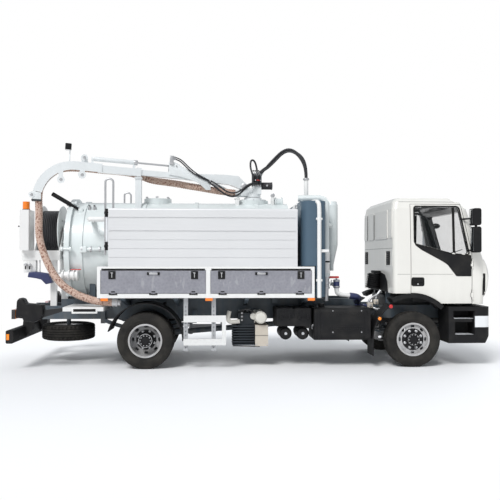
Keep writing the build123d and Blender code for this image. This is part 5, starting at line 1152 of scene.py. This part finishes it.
for end in RIM_PLACES:
    rims.add(turned(roll + roll[:1], REEL + FORE * end, FORE, 72), TANK_PAINT)
    for across, up in circle(6, 0.21):
        rims.add(hexagon(REEL + Vector((end, across, up)), FORE if end > 0 else AFT, 0.016, 0.012), STEEL)
rims.done()

# Operator console: gauges, levers and stop button behind, beacon foot, the guard under the reel and a dark
# blue block of painted shade below it
desk = touch(surface_of("reel_frame"), "x", -1, -0.445, 2.2).x
console = Piece("console_fittings", "chassis", "body_white")
for across, level, radius in ((-0.53, 2.36, 0.042), (-0.42, 2.36, 0.042), (-0.34, 2.37, 0.026)):
    dial = Vector((desk, across, level))
    rim = [(-0.002, radius), (0.014, radius), (0.016, radius * 0.9), (0.01, radius * 0.86), (0.01, 0.0)]
    needle = dial + AFT * 0.0122
    console.add(turned(rim, dial, AFT, 32), STEEL)
    console.add(bar(dial + AFT * 0.004, dial + AFT * 0.0115, radius * 0.84, 28), BODY_WHITE)
    console.add(bar(needle, needle + Vector((0, radius * 0.4, radius * 0.55)), 0.0016, 6), BLACK)
for step, finish in enumerate((BLACK_SMOOTH, BLACK_SMOOTH, RED_ENAMEL, BLACK_SMOOTH)):
    foot = Vector((desk, -0.55 + 0.065 * step, 2.19))
    console.add(block(foot + Vector((-0.004, -0.014, -0.04)), foot + Vector((0.002, 0.014, 0.04)), 0.002),
                BLACK)
    console.add(bar(foot, foot + Vector((-0.032, 0, 0.024)), 0.005, 10), STEEL)
    console.add(ball(foot + Vector((-0.034, 0, 0.027)), 0.012), finish)
STOP = [(-0.002, 0.03), (0.01, 0.03), (0.01, 0.014), (0.022, 0.014), (0.022, 0.024), (0.032, 0.021),
        (0.034, 0.0)]
BEACON_FOOT = [(0.0, 0.0), (0.0, 0.062), (0.012, 0.062), (0.02, 0.057), (0.02, 0.0)]
GUARD_WAY = ((-3.447, 1.69), (-3.447, 1.52), (-3.447, 1.46), (-3.4, 1.46), (-3.16, 1.46), (-3.113, 1.46),
             (-3.113, 1.52), (-3.113, 1.69))
# Dark blue block under the reel: a dark sheet standing for the shade under the reel frame
UNDER_REEL_SHADE = [(-3.617, 1.4), (-3.6, 1.48), (-3.5, 1.49), (-3.3, 1.462), (-3.223, 1.31), (-3.33, 1.285),
          (-3.4, 1.36), (-3.48, 1.38)]
console.add(turned(STOP, (desk, -0.315, 2.24), AFT, 28), RED_ENAMEL)
console.add(block((desk - 0.003, -0.6, 1.9), (desk + 0.002, -0.29, 2.1), 0.002), BLACK)
console.add(turned(BEACON_FOOT, (REAR_AXLE - 1.985, -0.45, 2.478), UP, 32), BLACK)
console.add(pipe([(along, -0.462, level) for along, level in GUARD_WAY], 0.014, 14), BODY_WHITE)
console.add(block((-3.7, -0.495, 1.475), (-3.5, -0.38, 1.675), 0.01), BODY_WHITE)
for spot in (-3.655, -3.59):
    console.add(cross_bar(spot, -0.49, -0.555, 1.6, 0.022, 20, 0.003), STEEL)
    console.add(hexagon((spot, -0.52, 1.6), OUT_RIGHT, 0.03, 0.016), STEEL)
    console.add(post(spot, -0.535, 1.6, 1.525, 0.01, 12, 0.002), BLACK)
# Painted shade under the reel, as a dark blue block
console.add(prism(UNDER_REEL_SHADE, "y", -0.56, -0.44, 0.012, 3), BLUE_COVER)
console.done()

# Sludge tank: head bolts, manhole wing nuts, drain valve, side pipe, level gauge and hose guide arm
TANK_AXIS, BOLT_CIRCLE, HEAD_FRONT = 1.85, 0.822, -2.9
HATCH, WING_CIRCLE, WING_HALF = Vector((REAR_AXLE + 0.1, 0, 2.706)), 0.205, 0.032
DRAIN_Y, DRAIN_Z = -0.8, 1.432
SIDE_PIPE_Y, SIDE_PIPE_Z = -0.835, 1.845
GAUGE_X, GAUGE_Y = -2.262, -1.165
OVERHEAD = ((-2.232, -1.0), (-2.36, -1.0), (-2.5, -1.0), (-2.555, -1.0), (-2.56, -0.94), (-2.56, -0.8),
            (-2.56, -0.6))
plumbing = Piece("tank_plumbing", "chassis", "tank_paint")
head = surface_of("sludge_tank")
for across, up in circle(24, BOLT_CIRCLE, 7.5):
    seat = touch(head, "x", -1, across, TANK_AXIS + up)
    if seat and seat.x < HEAD_FRONT:
        plumbing.add(hexagon(seat, AFT, 0.017, 0.016), STEEL)
for along, across in circle(6, WING_CIRCLE, 30):
    spot = HATCH + Vector((along, across, 0))
    wing = Vector((-across, along, 0)) * (WING_HALF / WING_CIRCLE)
    plumbing.add(bar(spot, spot + UP * 0.04, 0.01, 12), STEEL)
    plumbing.add(bar(spot + wing + UP * 0.026, spot - wing + UP * 0.026, 0.008, 10, 0.002), STEEL)
plumbing.add(long_bar(-3.0, -2.77, DRAIN_Y, DRAIN_Z, 0.066, 32, 0.006), BODY_WHITE)
for spot in (-2.995, -2.905, -2.83, -2.775):
    plumbing.add(long_bar(spot - 0.012, spot + 0.012, DRAIN_Y, DRAIN_Z, 0.09, 32, 0.003), BODY_WHITE)
plumbing.add(bar((-2.868, DRAIN_Y, DRAIN_Z), (-2.868, -0.56, 1.46), 0.055, 28), TANK_PAINT)
plumbing.add(post(-2.868, DRAIN_Y, 1.49, 1.535, 0.016, 16, 0.003), STEEL)
plumbing.add(block((-2.885, -0.82, 1.52), (-2.72, -0.78, 1.534), 0.005), RED_ENAMEL)
plumbing.add(long_bar(-2.72, -2.345, SIDE_PIPE_Y, SIDE_PIPE_Z, 0.03, 24, 0.004), TANK_PAINT)
for spot in (-2.7, -2.56, -2.42):
    plumbing.add(long_bar(spot - 0.014, spot + 0.014, SIDE_PIPE_Y, SIDE_PIPE_Z, 0.044, 24, 0.003), STEEL)
plumbing.rows(block, TANK_PAINT, ((-2.735, -0.875, 1.795), (-2.62, -0.76, 1.89), 0.012),
              ((-2.44, -0.85, 1.8), (-2.4, -0.77, 1.86), 0.006),
              ((-2.82, -0.54, 2.42), (-2.745, -0.46, 2.51), 0.01))
plumbing.add(pipe([(along, across, 2.31) for along, across in OVERHEAD], 0.04, 24), BODY_WHITE)
# Clear gauge tube: its faint glow is painted light
plumbing.add(post(GAUGE_X, GAUGE_Y, 1.95, 2.36, 0.019, 20), CLEAR_LENS)
for low, high in ((2.335, 2.46), (1.825, 1.955)):
    middle = (low + high) / 2
    plumbing.add(post(GAUGE_X, GAUGE_Y, low, high, 0.03, 20, 0.005), BLACK)
    plumbing.add(long_bar(-2.3, -2.233, GAUGE_Y, middle, 0.024, 20, 0.004), BLACK)
    plumbing.add(cross_bar(GAUGE_X, GAUGE_Y, -1.222, middle, 0.012, 12, 0.002), BLACK)
    plumbing.add(block((-2.295, -1.226, middle - 0.012), (-2.229, -1.214, middle + 0.012), 0.004), BLACK)
plumbing.rows(bar, BLACK, ((-2.78, -0.5, 2.475), (-3.225, -0.5, 2.735), 0.022, 20, 0.004),
              ((-2.95, -0.5, 2.574), (-3.245, -0.5, 2.747), 0.034, 20, 0.008))
for spot in (-2.655, -2.575):
    plumbing.add(post(spot, -0.45, 2.48, 2.555, 0.022, 20, 0.004), STEEL)
    plumbing.add(cross_bar(spot, -0.5, -0.4, 2.56, 0.01, 12, 0.002), BLACK)
plumbing.done()

# Vacuum side behind the cab: pipe sleeve, cam couplings, red lever, blue hose stub and lifting eyes
SLEEVE = Vector((REAR_AXLE + 2.866, -0.72, 0))
SLEEVE_FORM = [(1.47, 0.0), (1.47, 0.068), (1.49, 0.068), (1.492, 0.059), (1.61, 0.059), (1.612, 0.066),
               (1.635, 0.066), (1.637, 0.059), (1.775, 0.059), (1.777, 0.066), (1.8, 0.066), (1.8, 0.0)]
SEAL_RING = [(1.6405, 0.0605), (1.6415, 0.063), (1.664, 0.063), (1.665, 0.0605)]
CAM_COUPLING = [(1.02, 0.0), (1.02, 0.04), (1.215, 0.04), (1.22, 0.06), (1.25, 0.06), (1.253, 0.048),
                (1.29, 0.048), (1.293, 0.058), (1.335, 0.058), (1.338, 0.05), (1.375, 0.05), (1.378, 0.062),
                (1.408, 0.062), (1.412, 0.0)]
VALVE_X, VALVE_Y = 1.345, -0.75
EYE_PLATE = [(0.64, 2.4), (0.64, 2.52), (0.668, 2.575), (0.715, 2.6), (0.762, 2.575), (0.79, 2.52),
             (0.79, 2.4)]
EYE_RING = [(-0.012, 0.03), (0.012, 0.03), (0.012, 0.018), (-0.012, 0.018), (-0.012, 0.03)]
CLAMP = [(-0.01, 0.0495), (-0.01, 0.054), (0.01, 0.054), (0.01, 0.0495)]
vacuum = Piece("vacuum_fittings", "chassis", "steel")
for form, finish in ((SLEEVE_FORM, BODY_WHITE), (SEAL_RING, RUBBER_SEAL), (CAM_COUPLING, STEEL)):
    vacuum.add(turned(form, SLEEVE, UP, 32), finish)
vacuum.rows(block, BODY_WHITE, ((0.965, -1.196, 1.8), (1.15, -1.176, 1.845), 0.004),
            ((1.118, -1.19, 1.806), (1.142, -0.7, 1.838), 0.004))
for turn in (-1, 1):
    vacuum.add(bar(SLEEVE + Vector((turn * 0.062, -0.02, 1.26)),
                   SLEEVE + Vector((turn * 0.085, -0.03, 1.36)), 0.008, 10, 0.002), STEEL)
vacuum.add(block((1.235, -0.765, 1.385), (1.385, -0.735, 1.42), 0.01, 3), RED_ENAMEL)
vacuum.add(post(VALVE_X, VALVE_Y, 1.395, 1.35, 0.014, 16, 0.002), STEEL)
vacuum.add(post(VALVE_X, VALVE_Y, 1.23, 1.365, 0.05, 28, 0.006), BLUE_COVER)
for level in (1.25, 1.345):
    vacuum.add(turned(CLAMP, (VALVE_X, VALVE_Y, level), UP, 28), STEEL)
vacuum.add(pipe([(VALVE_X, VALVE_Y, 1.24), (VALVE_X, VALVE_Y, 1.16), (1.4, VALVE_Y, 1.125),
                 (1.5, VALVE_Y, 1.11), (1.57, VALVE_Y, 1.105)], 0.036, 20), BODY_WHITE)
vacuum.add(pipe([(VALVE_X, VALVE_Y, 1.36), (VALVE_X, VALVE_Y, 1.3), (VALVE_X, -0.62, 1.28),
                 (VALVE_X, -0.42, 1.28)], 0.036, 20), STEEL)
vacuum.add(pipe([(1.56, VALVE_Y, 1.105), (1.62, VALVE_Y, 1.1), (1.7, -0.72, 1.08), (1.74, -0.6, 1.04),
                 (1.74, -0.4, 0.99)], 0.05, 24), BLUE_COVER)
vacuum.add(prism(EYE_PLATE, "y", -0.615, -0.6, 0.003), BODY_WHITE, BOTH)
vacuum.add(turned(EYE_RING, (0.715, -0.6075, 2.545), (0, 1, 0), 24), STEEL, BOTH)
vacuum.done()

# Pipework on the frame behind the cab
cluster = Piece("frame_fittings", "chassis", "cast")
cluster.rows(block, CREAM, ((1.875, -0.66, 0.895), (1.965, -0.58, 0.985), 0.012, 3),
             ((1.985, -0.64, 0.955), (2.06, -0.57, 1.035), 0.012, 3))
cluster.rows(block, CAST, ((2.065, -0.66, 0.88), (2.125, -0.6, 0.945), 0.012, 3),
             ((1.84, -0.6, 0.82), (2.13, -0.44, 0.9), 0.01))
for start, bend, end, finish in (((1.9, -0.62, 0.98), (1.92, -0.62, 1.07), (2.03, -0.6, 1.1), STEEL),
                                 ((2.02, -0.6, 1.03), (2.04, -0.6, 1.12), (2.1, -0.58, 1.17), STEEL),
                                 ((1.88, -0.6, 0.93), (1.8, -0.6, 0.96), (1.72, -0.52, 0.93), BLUE_COVER),
                                 ((1.95, -0.6, 0.92), (2.03, -0.66, 0.85), (2.1, -0.62, 0.9), STEEL)):
    cluster.add(pipe([start, bend, end], 0.019), finish)
    cluster.add(ball(end, 0.027), finish)
cluster.rows(hexagon, STEEL, ((1.92, -0.665, 0.94), OUT_RIGHT, 0.018, 0.016),
             ((2.02, -0.645, 0.995), OUT_RIGHT, 0.018, 0.016))
cluster.done()

# Boom root: valve bank with levers and knobs, motor sleeve, pin cap, and brackets on the tank top
MOTOR_Z = 2.95
bank = Piece("valve_bank", "boom_base", "cast")
bank.add(block((SLEW_X - 0.014, -0.114, 2.93), (SLEW_X + 0.144, 0.114, 3.154), 0.008), CAST)
for step in range(5):
    spot = SLEW_X + 0.006 + 0.029 * step
    lever = Vector((spot, -0.136, 3.116))
    knob = RED_ENAMEL if step in (0, 2, 3) else STEEL
    bank.add(block((spot - 0.011, -0.156, 2.958), (spot + 0.011, -0.112, 3.118), 0.004),
             BLACK if step % 2 else CAST)
    bank.add(bar(lever, lever + Vector((-0.03, -0.012, 0.072)), 0.0055, 10), STEEL)
    bank.add(ball(lever + Vector((-0.031, -0.012, 0.076)), 0.013), BLACK)
    bank.add(cross_bar(spot, -0.15, -0.176, 3.03, 0.01, 14, 0.003), knob)
    bank.add(hexagon((spot, -0.134, 2.958), -UP, 0.012, 0.02), STEEL)
sleeve = [(-0.003, 0.0), (-0.003, 0.066), (0.012, 0.066)]
for step in range(9):
    sleeve += [(0.018 + step * 0.019, 0.0605), (0.027 + step * 0.019, 0.0635)]
sleeve += [(0.192, 0.066), (0.203, 0.064), (0.206, 0.045), (0.206, 0.0)]
PIN_CAP = [(-0.004, 0.0), (-0.004, 0.05), (0.01, 0.05), (0.014, 0.044), (0.014, 0.018), (0.022, 0.016),
           (0.022, 0.0)]
bank.add(turned(sleeve, (SLEW_X + 0.13, 0, MOTOR_Z), FORE, 36), HOSE_BLACK)
bank.add(cross_bar(SLEW_X + 0.24, -0.055, -0.095, MOTOR_Z, 0.016, 16, 0.003), STEEL)
pin = touch(surface_of("slew_column", "boom_inner"), "y", -1, PIVOT.x, PIVOT.z)
bank.add(turned(PIN_CAP, pin, OUT_RIGHT, 28), STEEL)
bank.done()
mounts = Piece("boom_pedestal_brackets", "chassis", "body_white")
mounts.rows(block, BODY_WHITE, ((-0.272, -0.265, 2.545), (-0.205, -0.15, 2.715), 0.008),
            ((-0.29, -0.275, 2.7), (-0.195, -0.14, 2.722), 0.006),
            ((0.335, -0.225, 2.56), (0.385, -0.165, 2.8), 0.006))
mounts.add(cross_bar(0.36, -0.23, -0.16, 2.77, 0.034, 24, 0.004), STEEL)
mounts.rows(long_bar, TANK_PAINT, (0.34, 0.53, -0.12, 2.655, 0.072, 32, 0.006),
            (0.405, 0.425, -0.12, 2.655, 0.092, 32, 0.003), (0.515, 0.535, -0.12, 2.655, 0.092, 32, 0.003))
for along, across in circle(12, 0.235):
    mounts.add(hexagon(touch(head, "z", 1, SLEW_X + along, across), UP, 0.013, 0.012), STEEL)
mounts.done()

# Hydraulic hoses: the arch's companions, a loop over the bank and two loops under the boom root
LOOPS = (
    ("arch_hose_upper", ("chassis", "boom_base"), 0.018, (
        (0.928, -0.268, 3.04), (0.93, -0.268, 3.21), (0.88, -0.258, 3.395), (0.765, -0.235, 3.5),
        (0.63, -0.205, 3.553), (0.5, -0.17, 3.49), (0.4, -0.13, 3.4), (0.3, -0.09, 3.285),
        (0.2, -0.06, 3.225), (0.12, -0.04, 3.15))),
    ("arch_hose_lower", ("chassis", "boom_base"), 0.016, (
        (0.902, -0.322, 3.04), (0.9, -0.322, 3.18), (0.85, -0.31, 3.335), (0.755, -0.285, 3.465),
        (0.635, -0.25, 3.52), (0.52, -0.215, 3.475), (0.405, -0.17, 3.355), (0.29, -0.13, 3.245),
        (0.2, -0.105, 3.19), (0.145, -0.085, 3.148))),
    ("bank_hose_loop", ("boom_base",), 0.016, (
        (0.11, -0.06, 3.15), (0.095, -0.07, 3.28), (0.05, -0.085, 3.385), (-0.01, -0.1, 3.375),
        (-0.015, -0.125, 3.25), (0.012, -0.185, 3.15), (0.035, -0.185, 3.06), (0.041, -0.156, 3.0))),
    ("root_hose_outer", ("boom_base", "boom_arm"), 0.015, (
        (0.07, -0.152, 2.98), (0.02, -0.185, 2.965), (-0.09, -0.19, 2.905), (-0.191, -0.195, 2.795),
        (-0.3, -0.2, 2.74), (-0.43, -0.215, 2.77), (-0.535, -0.235, 2.845), (-0.62, -0.24, 2.915),
        (-0.72, -0.212, 2.985))),
    ("root_hose_inner", ("boom_base", "boom_arm"), 0.013, (
        (0.098, -0.152, 2.99), (0.04, -0.21, 2.985), (-0.07, -0.22, 2.945), (-0.17, -0.225, 2.85),
        (-0.29, -0.23, 2.8), (-0.41, -0.245, 2.82), (-0.5, -0.262, 2.88), (-0.6, -0.262, 2.96),
        (-0.69, -0.208, 3.01))))
for name, bodies, radius, route in LOOPS:
    laid(name, route_line(route, 24), radius, HOSE_BLACK, "hose_black", bodies)

# Inner boom: a hose anchor, and the extension ram's rod from its pin into the cylinder on the outer boom
RAM_RISE, ROD_PIN, ROD_END = 0.238, 1.18, 2.45
CYLINDER_START, CYLINDER_END = 1.83, 2.545
HOSE_ANCHOR = (-0.69, 3.01)
arm = Piece("boom_arm_fittings", "boom_arm", "steel")
anchor = touch(surface_of("boom_inner"), "y", -1, *HOSE_ANCHOR)
arm.add(bar(anchor - OUT_RIGHT * 0.004, anchor + OUT_RIGHT * 0.035, 0.02, 16, 0.003), STEEL)
arm.add(bar(boom_point(ROD_PIN, RAM_RISE), boom_point(ROD_END, RAM_RISE), 0.015, 24, 0.002), STEEL)
for half, radius, sides, bevel in ((0.034, 0.03, 24, 0.003), (0.078, 0.014, 20, 0.002)):
    arm.add(bar(boom_point(ROD_PIN, RAM_RISE, -half), boom_point(ROD_PIN, RAM_RISE, half), radius, sides,
                bevel), STEEL)
arm.done()

# Knee plates with the ram's bracket and the block that two hydraulic lines lead to
BRACKET = [(1.3, 0.086), (1.3, 0.3), (1.225, 0.3), (1.165, 0.284), (1.105, 0.25)]
KNEE = BRACKET + [(0.848, 0.135), (0.598, 0.05), (0.579, -0.11), (0.655, -0.118), (0.79, -0.01),
                  (0.918, 0.03), (1.11, 0.066)]
knee = Piece("boom_knee_plates", "boom_arm", "boom_white")
knee.add(prism(KNEE, "z", -0.066, -0.05, 0.003), BOOM_WHITE, IN_BOOM)
knee.add(prism(BRACKET + [(1.07, 0.086)], "z", 0.044, 0.06, 0.003), BOOM_WHITE, IN_BOOM)
knee.add(prism(oblong(1.236, 0.255, 1.296, 0.4), "z", -0.094, -0.045, 0.004), STEEL, IN_BOOM)
knee.done()
LINE_ROUTES = (
    ("boom_line_outer", 0.011, (
        (0.585, 0.02, -0.072), (0.7, 0.055, -0.084), (0.84, 0.11, -0.084), (0.972, 0.193, -0.084),
        (1.094, 0.297, -0.084), (1.15, 0.335, -0.08), (1.215, 0.35, -0.072))),
    ("boom_line_inner", 0.01, (
        (0.617, 0.047, -0.072), (0.715, 0.083, -0.082), (0.828, 0.135, -0.082), (0.955, 0.217, -0.082),
        (1.072, 0.318, -0.082), (1.14, 0.363, -0.08), (1.215, 0.38, -0.072))))
for name, radius, spots in LINE_ROUTES:
    line = route_line([boom_point(*spot) for spot in spots], 24)
    nipple = Piece(name + "_nipple", "boom_arm", "steel")
    nipple.add(bar(line[-1] - BOOM_ALONG * 0.012, line[-1] + BOOM_ALONG * 0.024, radius + 0.005, 6, 0.001),
               STEEL)
    laid(name, line, radius, HOSE_BLACK, "hose_black", ["boom_arm"],
         with_pieces=[nipple.done()])

# Outer boom: ram cylinder, skirt and collar of the neck, roller pins and the work lamp
ROLLER_CAP = [(0.0, 0.0), (0.0, 0.024), (0.01, 0.024), (0.013, 0.02), (0.013, 0.0)]
SKIRT = [(3.3, -0.385), (3.294, -0.5), (3.43, -0.5), (3.432, -0.372)]
neck = Piece("neck_fittings", "boom_slide", "boom_white")
neck.add(bar(boom_point(CYLINDER_START, RAM_RISE), boom_point(CYLINDER_END, RAM_RISE), 0.036, 32, 0.004),
         BOOM_WHITE)
neck.add(bar(boom_point(CYLINDER_START - 0.015, RAM_RISE), boom_point(CYLINDER_START + 0.045, RAM_RISE),
             0.041, 32, 0.004), STEEL)
neck.rows(prism, BOOM_WHITE, (SKIRT, "z", -0.072, -0.062, 0.002), (SKIRT, "z", 0.062, 0.072, 0.002),
          (oblong(3.422, -0.5, 3.432, -0.37), "z", -0.07, 0.07, 0.002), spots=IN_BOOM)
neck.add(prism(oblong(3.286, -0.524, 3.44, -0.496), "z", -0.08, 0.08, 0.006), CAST, IN_BOOM)
for along, up in ((3.012, -0.15), (2.69, -0.045), (3.44, -0.43), (2.67, 0.235)):
    neck.add(turned(ROLLER_CAP, boom_point(along, up, -0.074), -BOOM_SIDE, 24), STEEL)
neck.add(prism(oblong(2.884, 0.344, 2.981, 0.446), "z", -0.05, 0.05, 0.01), BLACK, IN_BOOM)
neck.add(prism(oblong(2.892, 0.338, 2.973, 0.346), "z", -0.042, 0.042, 0.002), CLEAR_LENS, IN_BOOM)
neck.done()

# Water overflow pipe in front of the cross tank and the white mast sleeve
OVERFLOW_X, OVERFLOW_Y = 0.993, -1.215
MAST_X, MAST_Y = REAR_AXLE + 2.6, -0.3
overflow_way = [(OVERFLOW_X, OVERFLOW_Y, level) for level in (1.1, 1.6, 2.2, 2.49)]
overflow_way += [(0.985, -1.205, 2.57), (0.955, -1.15, 2.595), (0.92, -1.05, 2.595)]
pipes = Piece("overflow_pipe", "chassis", "body_white")
pipes.add(pipe(overflow_way, 0.033, 24), BODY_WHITE)
for level in (1.35, 2.3):
    pipes.add(block((0.945, -1.225, level), (1.041, -1.172, level + 0.035), 0.005), BODY_WHITE)
pipes.add(post(MAST_X, MAST_Y, 2.6, 3.048, 0.036, 28, 0.004), BODY_WHITE)
pipes.add(post(MAST_X, MAST_Y, 3.02, 3.052, 0.05, 28, 0.004), STEEL)
pipes.done()
